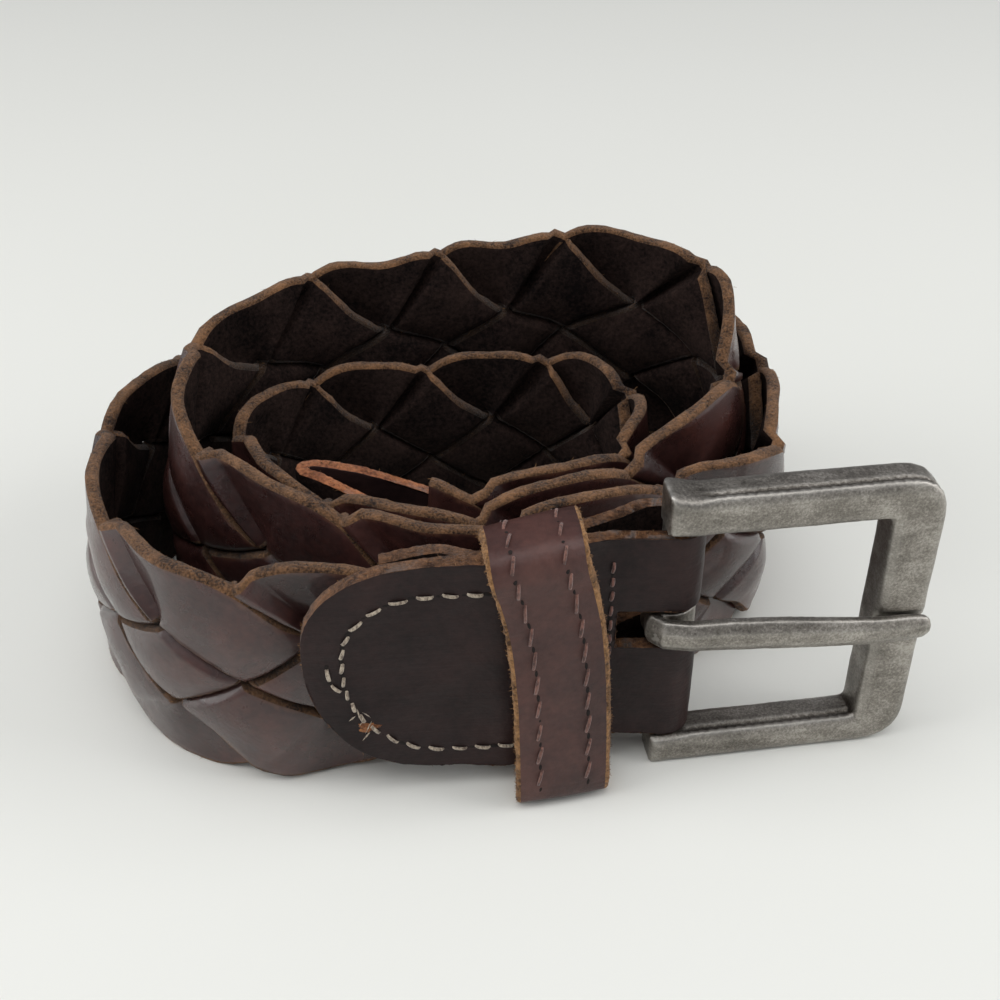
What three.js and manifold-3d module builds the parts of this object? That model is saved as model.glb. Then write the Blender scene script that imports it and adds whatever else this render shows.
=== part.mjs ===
// A rolled-up braided leather belt that stands on its edge, with its buckle at the front right.
// Millimetres, +Z up, the viewer looks along +Y.
import * as THREE from 'three';
import { mergeVertices } from 'three/addons/utils/BufferGeometryUtils.js';
import Module from 'manifold-3d';

const wasm = await Module();
wasm.setup();

// Driving dimensions.
const CLEARANCE = 0.35;          // free gap between pieces that touch on the real belt
const COIL_DEPTH = 100;          // front of the tab to the back of the outer wrap
const ORIGIN = { x: -1.7, y: 47.45 };   // middle of the bounding box in the plan of the tables

const BAND_WIDTH = 41;           // braided band, edge to edge
const GROUND_GAP = 0.05;         // keeps the tipped edges from going below the ground
const STRAND_THICK = 1.7;
const STRAND_COUNT = 4;
const ZIGZAG = 0.376 * BAND_WIDTH;     // height of a strand's middle line above the band's middle
const COVER = 0.86;              // strand width as a share of the pitch of its neighbours
const SHOULDER_LIFT = 2.8;       // how much higher a strand's outer edge runs beside its turn
const SHOULDER_AT = 0.5;         // crossings from the turn to the highest lift
const SHOULDER_END = 0.8;        // crossings from the turn to the end of the lift
const TURN_ROOM = 0.285;         // level run of a strand beside its turn, in crossings
const WEAVE_GAP = 0.6;           // free height where two strands cross
const WEAVE_RISE = (STRAND_THICK + WEAVE_GAP) / 2;

const STRAP_WIDTH = 38.4;        // plain strap that holds the buckle
const STRAP_THICK = 2.2;
const STRAP_BOTTOM = 5.5;        // height of its lower edge above the ground
const TAB_RISE = 3;              // the round end of its tab sits this much higher
const BAR_RADIUS = 2;
const BAR = { x: 25.2, y: 13.15 };

const TIP_THICK = 1.8;
const TIP_WIDTH = 34;
const TIP_BOTTOM = 2;

const FRAME_HEIGHT = 50.6;
const FRAME_REACH = 38.6;        // bar axis to the outer edge of the far side
const FRAME_LUG = 2.4;           // the frame goes this far to the left of the bar axis
const FRAME_RAIL = { low: 5.1, high: 6.3 };   // height of the lower and upper side
const FRAME_FAR = 8;             // width of the far side
const FRAME_FRONT = 5.5;         // front face in front of the bar axis
const FRAME_BACK = 1;            // back face behind the bar axis
const FRAME_CORNER = 5.5;
const FRAME_BEVEL = 1.1;
const FRAME_YAW = 8.5;           // degrees the frame points away from the viewer

const TONGUE_Z = 27;             // height of the tongue above the ground
const TONGUE_WIDTH = 5;
const TONGUE_THICK = 3;
const TONGUE_RING = 1.7;         // wall of the eye round the bar
const REST_RADIUS = 3.1;         // groove in the frame's far side where its end rests
const REST_SHIFT = 1.1;          // its axis ahead of the tongue's middle line
const SLOT_REACH = 8.5;            // the strap's slot goes this far to the left of the bar axis

const KEEPER_WIDTH = 14.2;
const KEEPER_THICK = 2;
const KEEPER_ALONG = 15.6;       // its middle to the left of the bar axis

// Plan of the braided band from the buckle end to the tip end. "crossing" counts the notches of
// the upper edge, x and y are shares of COIL_DEPTH, lift and wide shares of BAND_WIDTH, lean is
// the angle in degrees by which the wall's top tips away from the coil.
const COIL_COLUMNS = ['crossing', 'x', 'y', 'lift', 'lean', 'wide'];
const COIL = [
  [0.5, -0.035, 0.103, 0.02, 0, 0.96],
  [1, -0.145, 0.080, 0.02, 0, 0.96],
  [1.5, -0.260, 0.071, 0.01, 0, 0.98],
  [2, -0.374, 0.056, 0, 0, 1],
  [2.5, -0.490, 0.098, 0, 2, 1],
  [3, -0.583, 0.205, 0, 0, 1],
  [3.5, -0.645, 0.325, 0, -4, 1],
  [4, -0.652, 0.451, 0, -5, 1],
  [4.5, -0.625, 0.570, 0, -3, 1],
  [5, -0.555, 0.685, 0, 0, 1],
  [6, -0.365, 0.845, 0, 0, 1],
  [7, -0.120, 0.925, 0, 0, 1],
  [8, 0.130, 0.950, 0, 0, 1],
  [9, 0.350, 0.870, 0, 0, 1],
  [9.5, 0.430, 0.770, 0, 0, 1],
  [10, 0.460, 0.650, 0, -2, 1],
  [10.5, 0.450, 0.525, 0, 2, 1],
  [11, 0.428, 0.415, 0, 4, 1],
  [11.4, 0.365, 0.345, 0, 4, 1],
  [12, 0.255, 0.295, 0, 1, 1],
  [12.5, 0.120, 0.232, 0, 0, 1],
  [13, 0.010, 0.183, 0, 0, 1],
  [13.5, -0.115, 0.164, 0.01, 0, 0.98],
  [14, -0.230, 0.198, 0.03, 0, 1],
  [14.5, -0.355, 0.248, 0.05, 0, 1],
  [15, -0.465, 0.320, 0.11, -3, 1],
  [15.5, -0.528, 0.420, 0.19, -6, 1],
  [16, -0.505, 0.545, 0.27, -5, 1],
  [16.5, -0.420, 0.640, 0.31, -2, 0.98],
  [17, -0.320, 0.705, 0.38, 0, 0.98],
  [17.5, -0.205, 0.730, 0.37, 0, 0.96],
  [18, -0.100, 0.755, 0.43, 0, 0.98],
  [18.5, 0.005, 0.775, 0.41, 0, 0.96],
  [19, 0.115, 0.790, 0.47, 0, 0.98],
  [19.5, 0.245, 0.775, 0.43, 0, 0.97],
  [20, 0.355, 0.705, 0.43, -2, 0.98],
  [20.5, 0.400, 0.610, 0.29, -5, 0.98],
  [21, 0.378, 0.510, 0.14, -4, 1],
  [21.5, 0.300, 0.420, 0.05, -1, 1],
  [22, 0.195, 0.340, 0, 0, 1],
  [22.5, 0.080, 0.282, 0, 0, 0.98],
  [23, -0.040, 0.232, 0, 0, 0.96],
  [23.5, -0.155, 0.240, 0, 0, 0.94],
  [24, -0.270, 0.284, 0, 0, 0.94],
  [24.5, -0.372, 0.352, 0, 0, 0.96],
  [25, -0.420, 0.450, 0, 0, 0.97],
  [25.5, -0.395, 0.545, 0, 0, 0.97],
  [26, -0.320, 0.615, 0, 0, 0.97],
  [27, -0.125, 0.660, 0, 0, 0.97],
  [28, 0.085, 0.680, 0, 0, 0.98],
  [28.5, 0.170, 0.645, 0, 0, 0.98],
  [29, 0.218, 0.570, 0, 0, 0.98],
  [29.5, 0.228, 0.485, 0, 0, 0.97],
  [30, 0.190, 0.412, 0, 0, 0.95],
  [30.5, 0.095, 0.355, 0, 0, 0.93],
  [31, -0.045, 0.312, 0, 0, 0.93],
  [31.5, -0.115, 0.320, 0, 0, 0.93],
  [31.8, -0.160, 0.333, 0, 0, 0.93],
];
const BRAID_START = 0.8;
const BRAID_END = 31.75;

// Plan of the folded strap's middle line: the front run from the rounded tab to the bar and the
// rear run back from it. along is to the left of the bar axis, ahead towards the viewer, drop
// what is missing at its upper edge and sag how much lower its lower edge hangs, in mm.
const STRAP_COLUMNS = ['along', 'ahead', 'drop', 'sag'];
const STRAP_TAB = [
  [53.5, 11.5, 0, 0.3],
  [52.2, 11.4, 0, 0.4],
  [49.9, 11.2, 0.1, 0.5],
  [46.4, 10.8, 0.2, 0.6],
  [41.9, 10.1, 0.3, 0.6],
  [36.0, 9.4, 0.3, 0.6],
];
const STRAP_FRONT = [
  [30.0, 8.9, 0.3, 1.0],
  [25.0, 8.6, 0.3, 1.6],
  [21.0, 7.7, 0.1, 1.2],
  [17.0, 6.1, 0, 0.6],
  [13.0, 4.3, 0, 0.2],
  [9.0, 3.3, 0, 0],
  [4, 3.25, 0, 0],
];
const STRAP_REAR = [
  [4, -4.3, 0, 0],
  [8, -1.9, 0, 0],
  [12, 0.2, 0, 0],
  [16.5, 2.4, 0, 0],
  [21.0, 4.6, 0.3, 0],
  [25.0, 5.5, 0.8, 0],
  [28.6, 4.9, 2.4, 0],
  [31.2, 3.0, 3.4, 0],
  [34.0, 1.2, 4.2, 0],
  [37.0, 1.25, 4.6, 0],
  [42.6, 2.05, 5.5, 0],
];

// Two-layer tip: plan points as shares of COIL_DEPTH, from the rounded end of its front layer,
// and what is missing at the upper edge as a share of TIP_WIDTH.
const TIP_COLUMNS = ['x', 'y', 'drop'];
const TIP = [
  [-0.072, 0.275, 0.20],
  [-0.086, 0.278, 0.20],
  [-0.110, 0.283, 0.18],
  [-0.140, 0.292, 0.14],
  [-0.220, 0.323, 0.05],
  [-0.290, 0.353, 0],
  [-0.311, 0.365, 0],
  [-0.318, 0.378, 0],
  [-0.308, 0.389, 0],
  [-0.285, 0.388, 0],
  [-0.220, 0.379, 0.02],
  [-0.140, 0.369, 0.08],
  [-0.060, 0.357, 0.16],
];

// Line of the tongue: x right of the bar axis and front in front of it as shares of FRAME_REACH,
// sink below TONGUE_Z in mm, wide and thick as shares of its width and thickness.
const TONGUE_COLUMNS = ['x', 'front', 'sink', 'wide', 'thick'];
const TONGUE = [
  [-0.080, 0.040, 0, 0.90, 0.60],
  [-0.088, 0.088, 0, 1.00, 0.80],
  [-0.045, 0.135, 0, 1.00, 0.95],
  [0.050, 0.160, 0, 1.00, 1.00],
  [0.200, 0.178, -0.3, 1.06, 1.00],
  [0.400, 0.190, 0, 1.06, 1.00],
  [0.600, 0.192, 0.8, 1.00, 0.95],
  [0.780, 0.182, 1.8, 0.94, 0.88],
  [0.920, 0.162, 2.5, 0.92, 0.80],
  [0.990, 0.156, 2.7, 0.80, 0.70],
  [1.015, 0.154, 2.8, 0.50, 0.50],
];

// Middle line of the keeper's leather round the strap: how far ahead of the bar axis it is at its
// left and right edge, its height above the ground, its shift to the left and how much lower the
// left edge is, in mm.
const KEEPER_COLUMNS = ['left', 'right', 'up', 'shift', 'tilt'];
const KEEPER = [
  [14.5, 11.5, 4, 0, 0],
  [13.7, 10.7, 13, 0.2, 0],
  [12.9, 9.8, 22, 0.6, 0],
  [12.2, 8.9, 32, 1.6, 0],
  [12.2, 8.5, 39, 3.0, 0.3],
  [12.8, 8.8, 42.8, 3.9, 0.4],
  [11.4, 7.3, 45.6, 4.6, 0.4],
  [6.6, 2.7, 45.8, 5.2, 0.6],
  [3.8, -0.6, 45.0, 5.6, 0.9],
  [2.0, -2.3, 41.8, 5.2, 0.6],
  [2.0, -3.1, 30, 2.4, 0],
  [2.0, -3.9, 17, 0.8, 0],
  [2.2, -4.4, 6, 0, 0],
  [3.8, -2.0, 2.0, 0, 0],
  [7.0, 2.4, 1, 0, 0],
  [11.0, 7.8, 1, 0, 0],
  [13.9, 10.9, 1.8, 0, 0],
];

// Small helpers.
const rad = (degrees) => degrees * Math.PI / 180;
const group = new THREE.Group();

function material(color, roughness, metalness) {
  return new THREE.MeshStandardMaterial({ color, roughness, metalness });
}

function add(name, geometry, mat) {
  geometry.translate(-ORIGIN.x, -ORIGIN.y, 0);
  geometry.computeVertexNormals();
  const mesh = new THREE.Mesh(geometry, mat);
  mesh.name = name;
  group.add(mesh);
}

function rowsToRecords(columns, rows) {
  return rows.map((row) => Object.fromEntries(columns.map((name, i) => [name, row[i]])));
}

// Closed skin through a list of sections, each a ring of points in the same order.
function loft(rings, closed = false) {
  const size = rings[0].length;
  const positions = rings.flat().flatMap((p) => [p.x, p.y, p.z]);
  const index = [];
  const last = closed ? rings.length : rings.length - 1;
  for (let i = 0; i < last; i++) {
    const here = i * size;
    const next = ((i + 1) % rings.length) * size;
    for (let j = 0; j < size; j++) {
      const k = (j + 1) % size;
      index.push(here + j, next + j, next + k, here + j, next + k, here + k);
    }
  }
  if (!closed) {
    const end = (rings.length - 1) * size;
    const flat = capTriangles(size);
    flat.forEach(([a, b, c]) => index.push(a, b, c, end + a, end + c, end + b));
  }
  const geometry = new THREE.BufferGeometry();
  geometry.setAttribute('position', new THREE.Float32BufferAttribute(positions, 3));
  geometry.setIndex(index);
  return facingOut(geometry);
}

// Triangles that close a ring whose first half runs along one side and second half back.
function capTriangles(size) {
  const triangles = [];
  for (let low = 0, high = size - 1; high - low > 1;) {
    if (triangles.length % 2 === 0) {
      triangles.push([low, low + 1, high]);
      low += 1;
    } else {
      triangles.push([low, high - 1, high]);
      high -= 1;
    }
  }
  return triangles;
}

function signedVolume(geometry) {
  const p = geometry.attributes.position;
  const index = geometry.index;
  const [a, b, c] = [new THREE.Vector3(), new THREE.Vector3(), new THREE.Vector3()];
  let sum = 0;
  for (let i = 0; i < index.count; i += 3) {
    a.fromBufferAttribute(p, index.getX(i));
    b.fromBufferAttribute(p, index.getX(i + 1));
    c.fromBufferAttribute(p, index.getX(i + 2));
    sum += a.dot(b.cross(c)) / 6;
  }
  return sum;
}

function facingOut(geometry) {
  if (signedVolume(geometry) < 0) {
    const index = geometry.index;
    for (let i = 0; i < index.count; i += 3) {
      const keep = index.getX(i + 1);
      index.setX(i + 1, index.getX(i + 2));
      index.setX(i + 2, keep);
    }
  }
  return geometry;
}

function toSolid(geometry) {
  const bare = geometry.clone();
  bare.deleteAttribute('normal');
  bare.deleteAttribute('uv');
  const merged = mergeVertices(bare, 1e-4);
  return new wasm.Manifold(new wasm.Mesh({
    numProp: 3,
    vertProperties: new Float32Array(merged.attributes.position.array),
    triVerts: new Uint32Array(merged.index.array),
  }));
}

function fromSolid(solid) {
  const mesh = solid.getMesh();
  const geometry = new THREE.BufferGeometry();
  geometry.setAttribute('position', new THREE.Float32BufferAttribute(mesh.vertProperties, 3));
  geometry.setIndex(Array.from(mesh.triVerts));
  return geometry;
}

// The braided band.
const coil = rowsToRecords(COIL_COLUMNS, COIL);

// Smooth value of one column of the coil table at any crossing number.
function column(name, crossing) {
  let i = coil.findIndex((row) => row.crossing > crossing) - 1;
  i = i < 0 ? (crossing < coil[0].crossing ? 0 : coil.length - 2) : i;
  const slope = (k) => {
    const before = coil[Math.max(k - 1, 0)];
    const after = coil[Math.min(k + 1, coil.length - 1)];
    return (after[name] - before[name]) / (after.crossing - before.crossing);
  };
  const [from, to] = [coil[i], coil[i + 1]];
  const span = to.crossing - from.crossing;
  const t = (crossing - from.crossing) / span;
  const [t2, t3] = [t * t, t * t * t];
  return (2 * t3 - 3 * t2 + 1) * from[name] + (t3 - 2 * t2 + t) * span * slope(i)
    + (3 * t2 - 2 * t3) * to[name] + (t3 - t2) * span * slope(i + 1);
}

// Point of the band: across is measured up from its middle line, out away from the coil.
function bandPoint(crossing, across, out) {
  const step = 0.02;
  const x = COIL_DEPTH * column('x', crossing);
  const y = COIL_DEPTH * column('y', crossing);
  const dx = column('x', crossing + step) - column('x', crossing - step);
  const dy = column('y', crossing + step) - column('y', crossing - step);
  const length = Math.hypot(dx, dy);
  const normal = { x: -dy / length, y: dx / length };
  const lean = rad(column('lean', crossing));
  const wide = column('wide', crossing);
  const side = wide * across * Math.sin(lean) + out * Math.cos(lean);
  const up = wide * across * Math.cos(lean) - out * Math.sin(lean);
  const base = GROUND_GAP + BAND_WIDTH * (wide / 2 + Math.max(column('lift', crossing), 0));
  return new THREE.Vector3(x + side * normal.x, y + side * normal.y, base + up);
}

// A strand's place in its cycle of four crossings: 0 at the upper turn, 2 and -2 at the lower one.
function cyclePlace(crossing, strand) {
  const place = crossing - (strand + 0.5) + STRAND_COUNT / 2;
  return place - STRAND_COUNT * Math.floor(place / STRAND_COUNT) - STRAND_COUNT / 2;
}

// Extra height of a strand's outer edge, which laps over the next strand beside its turn.
function shoulderLift(offset) {
  const near = Math.abs(offset);
  const t = near < SHOULDER_AT ? near / SHOULDER_AT : (SHOULDER_END - near) / (SHOULDER_END - SHOULDER_AT);
  const part = Math.min(Math.max(t, 0), 1);
  return SHOULDER_LIFT * part * part * (3 - 2 * part);
}

// Edge points of a strand at a turn, t from -1 to 1 through the turn.
function turnEdges(t) {
  const reach = 0.25 + 0.25 * COVER;
  const shoulder = (0.75 + 0.25 * COVER) * ZIGZAG;
  const drop = BAND_WIDTH / 2 - shoulder;
  const quartic = (ZIGZAG * reach - 2 * drop) / 2;
  const inset = 0.25 * (1 - COVER);
  const edge = BAND_WIDTH / 2 - (drop - quartic) * t * t - quartic * t ** 4;
  return {
    outer: { along: t * reach, across: edge + shoulderLift(t * reach) },
    inner: {
      along: t * inset,
      across: (0.75 - 0.25 * COVER) * ZIGZAG + 0.5 * (1 - t * t) * inset * ZIGZAG,
    },
  };
}

// Upper and lower edge of a strand as offsets along and across the band.
function strandEdges(place) {
  const size = Math.abs(place);
  if (size <= 0.25) {
    const { outer, inner } = turnEdges(place / 0.25);
    return { upper: outer, lower: inner };
  }
  if (size >= 1.75) {
    const t = (place > 0 ? place - 2 : place + 2) / 0.25;
    const { outer, inner } = turnEdges(t);
    return {
      upper: { along: inner.along, across: -inner.across },
      lower: { along: outer.along, across: -outer.across },
    };
  }
  const middle = ZIGZAG * (1 - size);
  const side = Math.sign(place) * 0.25 * COVER;
  const half = 0.25 * COVER * ZIGZAG;
  const lift = size < 1 ? shoulderLift(size + 0.25 * COVER) : 0;
  const sink = size > 1 ? shoulderLift(2 - size + 0.25 * COVER) : 0;
  return {
    upper: { along: side, across: middle + half + lift },
    lower: { along: -side, across: middle - half - sink },
  };
}

// Outward position of a strand: over or under at each crossing, sloping in the gaps between.
const OVER_UNDER = [
  [-1.5, 1],
  [-1, -1],
  [-0.5, 1],
  [0.5, -1],
  [1, 1],
  [1.5, -1],
];

// Level run before and after a crossing: it is longer on the side of a turn.
function levelRun(at) {
  const half = 0.25 * COVER;
  const before = at === 0.5 || at === -1.5 ? TURN_ROOM : half;
  const after = at === -0.5 || at === 1.5 ? TURN_ROOM : half;
  return [before, after];
}

function weaveHeight(place) {
  const knots = OVER_UNDER.flatMap(([at, side]) => {
    const [before, after] = levelRun(at);
    return [[at - before, side], [at + after, side]];
  });
  const cycle = [[-2.5 + TURN_ROOM, -1], ...knots, [2.5 - TURN_ROOM, 1]];
  for (let i = 1; i < cycle.length; i++) {
    const [a, from] = cycle[i - 1];
    const [b, to] = cycle[i];
    if (place <= b) {
      return WEAVE_RISE * (from + (to - from) * Math.max(place - a, 0) / (b - a));
    }
  }
  return WEAVE_RISE;
}

// Places in a cycle where a strand gets a section.
function strandStops() {
  const half = 0.25 * COVER;
  const crossings = OVER_UNDER.flatMap(([at]) => [at - half, at, at + half]);
  const steep = 0.5 - TURN_ROOM;
  const turns = [0, -0.11, 0.11, -steep, steep];
  const lower = [-2, -1.89, 1.89, steep - 2, 2 - steep];
  return [...crossings, ...turns, ...lower].sort((a, b) => a - b);
}

function strandSection(crossing, strand) {
  const place = cyclePlace(crossing, strand);
  const { upper, lower } = strandEdges(place);
  const size = Math.abs(place);
  const centre = size <= 0.25 ? crossing - place
    : size >= 1.75 ? crossing - place + 2 * Math.sign(place) : crossing;
  const height = weaveHeight(place);
  const top = [centre + upper.along, upper.across];
  const low = [centre + lower.along, lower.across];
  const mid = [(top[0] + low[0]) / 2, (top[1] + low[1]) / 2];
  const outside = [top, mid, low].map(([u, v]) => bandPoint(u, v, height + STRAND_THICK / 2));
  const inside = [low, mid, top].map(([u, v]) => bandPoint(u, v, height - STRAND_THICK / 2));
  return [...outside, ...inside];
}

function strand(number) {
  const stops = strandStops();
  const rings = [];
  for (let cycle = -1; cycle * STRAND_COUNT < BRAID_END + STRAND_COUNT; cycle++) {
    for (const stop of stops) {
      const crossing = cycle * STRAND_COUNT + number + 0.5 + stop;
      if (crossing >= BRAID_START + 0.25 && crossing <= BRAID_END - 0.25) {
        rings.push(strandSection(crossing, number));
      }
    }
  }
  return loft(rings);
}

// The folded strap and the tip.
// Wall of leather along a plan line; each stop has x, y, low and high.
function wall(stops, thick) {
  const rings = stops.map((stop, i) => {
    const a = stops[Math.max(i - 1, 0)];
    const b = stops[Math.min(i + 1, stops.length - 1)];
    const length = Math.hypot(b.x - a.x, b.y - a.y);
    const nx = -(b.y - a.y) / length * thick / 2;
    const ny = (b.x - a.x) / length * thick / 2;
    return [
      new THREE.Vector3(stop.x + nx, stop.y + ny, stop.low),
      new THREE.Vector3(stop.x + nx, stop.y + ny, stop.high),
      new THREE.Vector3(stop.x - nx, stop.y - ny, stop.high),
      new THREE.Vector3(stop.x - nx, stop.y - ny, stop.low),
    ];
  });
  return loft(rings);
}

// Half height of a tab with a rounded end, at a distance from that end.
function roundedHalf(distance, width, radius) {
  const inside = Math.min(distance, radius);
  return width / 2 - radius + Math.sqrt(radius ** 2 - (radius - inside) ** 2);
}

function buckleStrap() {
  const middle = STRAP_BOTTOM + STRAP_WIDTH / 2;
  const top = STRAP_BOTTOM + STRAP_WIDTH;
  const radius = 0.46 * STRAP_WIDTH;
  const plain = ({ along, ahead, drop, sag }) => (
    { x: BAR.x - along, y: BAR.y - ahead, low: STRAP_BOTTOM - sag, high: top - drop });
  const tab = rowsToRecords(STRAP_COLUMNS, STRAP_TAB);
  const end = tab[0].along + 0.3;
  const stops = tab.map((row) => {
    const distance = end - row.along;
    const half = roundedHalf(distance, STRAP_WIDTH, radius);
    const rise = TAB_RISE * (1 - Math.min(distance / radius, 1)) ** 2;
    const [low, high] = [middle + rise - half - row.sag, middle + rise + half - row.drop];
    return { ...plain(row), low, high };
  });
  stops.push(...rowsToRecords(STRAP_COLUMNS, STRAP_FRONT).map(plain));
  const bend = BAR_RADIUS + CLEARANCE + STRAP_THICK / 2;
  for (const angle of [-75, -45, -15, 15, 45, 75]) {
    const swell = angle > 0 ? 1 + angle / 220 : 1;
    const along = -bend * Math.cos(rad(angle));
    stops.push(plain({ along, ahead: -swell * bend * Math.sin(rad(angle)), drop: 0, sag: 0 }));
  }
  stops.push(...rowsToRecords(STRAP_COLUMNS, STRAP_REAR).map(plain));
  return wall(stops, STRAP_THICK);
}

function slottedStrap() {
  const slot = new THREE.BoxGeometry(SLOT_REACH + 9, 16, TONGUE_WIDTH + 1.6);
  slot.translate(BAR.x + (9 - SLOT_REACH) / 2, BAR.y, TONGUE_Z);
  return fromSolid(toSolid(buckleStrap()).subtract(toSolid(slot)));
}

function tip() {
  const points = rowsToRecords(TIP_COLUMNS, TIP);
  const middle = TIP_BOTTOM + TIP_WIDTH / 2;
  const radius = 0.46 * TIP_WIDTH;
  const start = points[0];
  const stops = points.map((p, i) => {
    const distance = COIL_DEPTH * Math.hypot(p.x - start.x, p.y - start.y) + 0.3;
    const half = i < 6 ? roundedHalf(distance, TIP_WIDTH, radius) : TIP_WIDTH / 2;
    const high = Math.min(middle + half, TIP_BOTTOM + TIP_WIDTH * (1 - p.drop));
    return { x: COIL_DEPTH * p.x, y: COIL_DEPTH * p.y, low: middle - half, high };
  });
  return wall(stops, TIP_THICK);
}

// The keeper.
function keeper() {
  const points = rowsToRecords(KEEPER_COLUMNS, KEEPER);
  const rings = points.map((p, i) => {
    const before = points[(i + points.length - 1) % points.length];
    const after = points[(i + 1) % points.length];
    const length = Math.hypot(after.left - before.left, after.up - before.up);
    const outAhead = (after.up - before.up) / length;
    const outUp = -(after.left - before.left) / length;
    const corner = (side, depth) => {
      const ahead = (side < 0 ? p.left : p.right) + depth * outAhead;
      const up = p.up + depth * outUp - (side < 0 ? p.tilt : 0);
      const along = KEEPER_ALONG - side * KEEPER_WIDTH / 2 + p.shift;
      return new THREE.Vector3(BAR.x - along, BAR.y - ahead, up);
    };
    const half = KEEPER_THICK / 2;
    return [corner(-1, -half), corner(1, -half), corner(1, half), corner(-1, half)];
  });
  return loft(rings, true);
}

// The buckle.
function placeAtBar(geometry) {
  geometry.rotateZ(rad(FRAME_YAW));
  geometry.translate(BAR.x, BAR.y, 0);
  return geometry;
}

function roundedCorner(shape, x, y, turnX, turnY) {
  shape.quadraticCurveTo(x, y, turnX, turnY);
}

// The frame without its bar: an upper side, a far side and a lower side.
function frameBody() {
  const b = FRAME_BEVEL;
  const left = -FRAME_LUG + b;
  const right = FRAME_REACH - b;
  const low = b;
  const high = FRAME_HEIGHT - b;
  const r = FRAME_CORNER;
  const inRight = FRAME_REACH - FRAME_FAR + b;
  const inLow = FRAME_RAIL.low - b;
  const inHigh = FRAME_HEIGHT - FRAME_RAIL.high + b;
  const shape = new THREE.Shape();
  shape.moveTo(left, low);
  shape.lineTo(right - r, low);
  roundedCorner(shape, right, low, right, low + r);
  shape.lineTo(right, high - r);
  roundedCorner(shape, right, high, right - r, high);
  shape.lineTo(left, high);
  shape.lineTo(left, inHigh);
  shape.lineTo(inRight - 2, inHigh);
  roundedCorner(shape, inRight, inHigh, inRight, inHigh - 2);
  shape.lineTo(inRight, inLow + 2);
  roundedCorner(shape, inRight, inLow, inRight - 2, inLow);
  shape.lineTo(left, inLow);
  shape.closePath();
  const geometry = new THREE.ExtrudeGeometry(shape, {
    depth: FRAME_FRONT + FRAME_BACK - 2 * b,
    bevelThickness: b,
    bevelSize: b,
    bevelSegments: 2,
    curveSegments: 5,
  });
  geometry.rotateX(Math.PI / 2);
  geometry.translate(0, FRAME_BACK - b, 0);
  return geometry;
}

function buckleFrame() {
  const bar = new THREE.CylinderGeometry(BAR_RADIUS, BAR_RADIUS, FRAME_HEIGHT - FRAME_RAIL.low, 16);
  bar.rotateX(Math.PI / 2);
  bar.translate(0, 0, FRAME_HEIGHT / 2);
  const rest = new THREE.CylinderGeometry(REST_RADIUS, REST_RADIUS, FRAME_FAR + 4, 12);
  rest.rotateZ(Math.PI / 2);
  const tipRow = rowsToRecords(TONGUE_COLUMNS, TONGUE)[8];
  const ahead = FRAME_REACH * tipRow.front + REST_SHIFT;
  rest.translate(FRAME_REACH - FRAME_FAR / 2, -ahead, TONGUE_Z - tipRow.sink);
  const solid = toSolid(frameBody()).add(toSolid(bar)).subtract(toSolid(rest));
  return placeAtBar(fromSolid(solid));
}

function tongueShank() {
  const rows = rowsToRecords(TONGUE_COLUMNS, TONGUE);
  const rings = rows.map((row, i) => {
    const a = rows[Math.max(i - 1, 0)];
    const b = rows[Math.min(i + 1, rows.length - 1)];
    const length = Math.hypot(b.x - a.x, b.front - a.front);
    const across = { x: (b.front - a.front) / length, y: (b.x - a.x) / length };
    const ring = [];
    for (let k = 0; k < 8; k++) {
      const angle = rad(45 * k + 22.5);
      const depth = Math.sin(angle) * row.thick * TONGUE_THICK / 2 / Math.cos(rad(22.5));
      const z = Math.cos(angle) * row.wide * TONGUE_WIDTH / 2 / Math.cos(rad(22.5));
      ring.push(new THREE.Vector3(
        FRAME_REACH * row.x + across.x * depth,
        -FRAME_REACH * row.front + across.y * depth,
        TONGUE_Z - row.sink + z,
      ));
    }
    return ring;
  });
  return loft(rings);
}

function buckleTongue() {
  const inner = BAR_RADIUS + CLEARANCE;
  const eye = new THREE.CylinderGeometry(inner + TONGUE_RING, inner + TONGUE_RING, TONGUE_WIDTH, 20);
  eye.rotateX(Math.PI / 2);
  eye.translate(0, 0, TONGUE_Z);
  const hole = new THREE.CylinderGeometry(inner, inner, TONGUE_WIDTH + 4, 20);
  hole.rotateX(Math.PI / 2);
  hole.translate(0, 0, TONGUE_Z);
  const solid = toSolid(eye).add(toSolid(tongueShank())).subtract(toSolid(hole));
  return placeAtBar(fromSolid(solid));
}

// Materials.
const braidLeather = () => material(0x4a2c28, 0.35, 0);
const strapLeather = () => material(0x33241f, 0.55, 0);
const keeperLeather = () => material(0x5b3a30, 0.5, 0);
const pewter = () => material(0x8c8982, 0.42, 1);

for (let number = 0; number < STRAND_COUNT; number++) {
  add(`strand_${number + 1}`, strand(number), braidLeather());
}
add('buckle_strap', slottedStrap(), strapLeather());
add('belt_tip', tip(), strapLeather());
add('keeper_loop', keeper(), keeperLeather());
add('buckle_frame', buckleFrame(), pewter());
add('buckle_tongue', buckleTongue(), pewter());

export default group;
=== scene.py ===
# Look of the rolled-up braided belt. Tables are in millimetres, as in the CAD source, and the
# pieces in metres. The band, the strap, the tip and the keeper are rebuilt as leather that follows
# the same tables. The two castings are the CAD solids, worn round. Threads, needle holes, a torn
# spot and the fibres of the cut edges are added.
import math
import random

import bmesh
import bpy
import numpy as np
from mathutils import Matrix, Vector, noise


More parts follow.
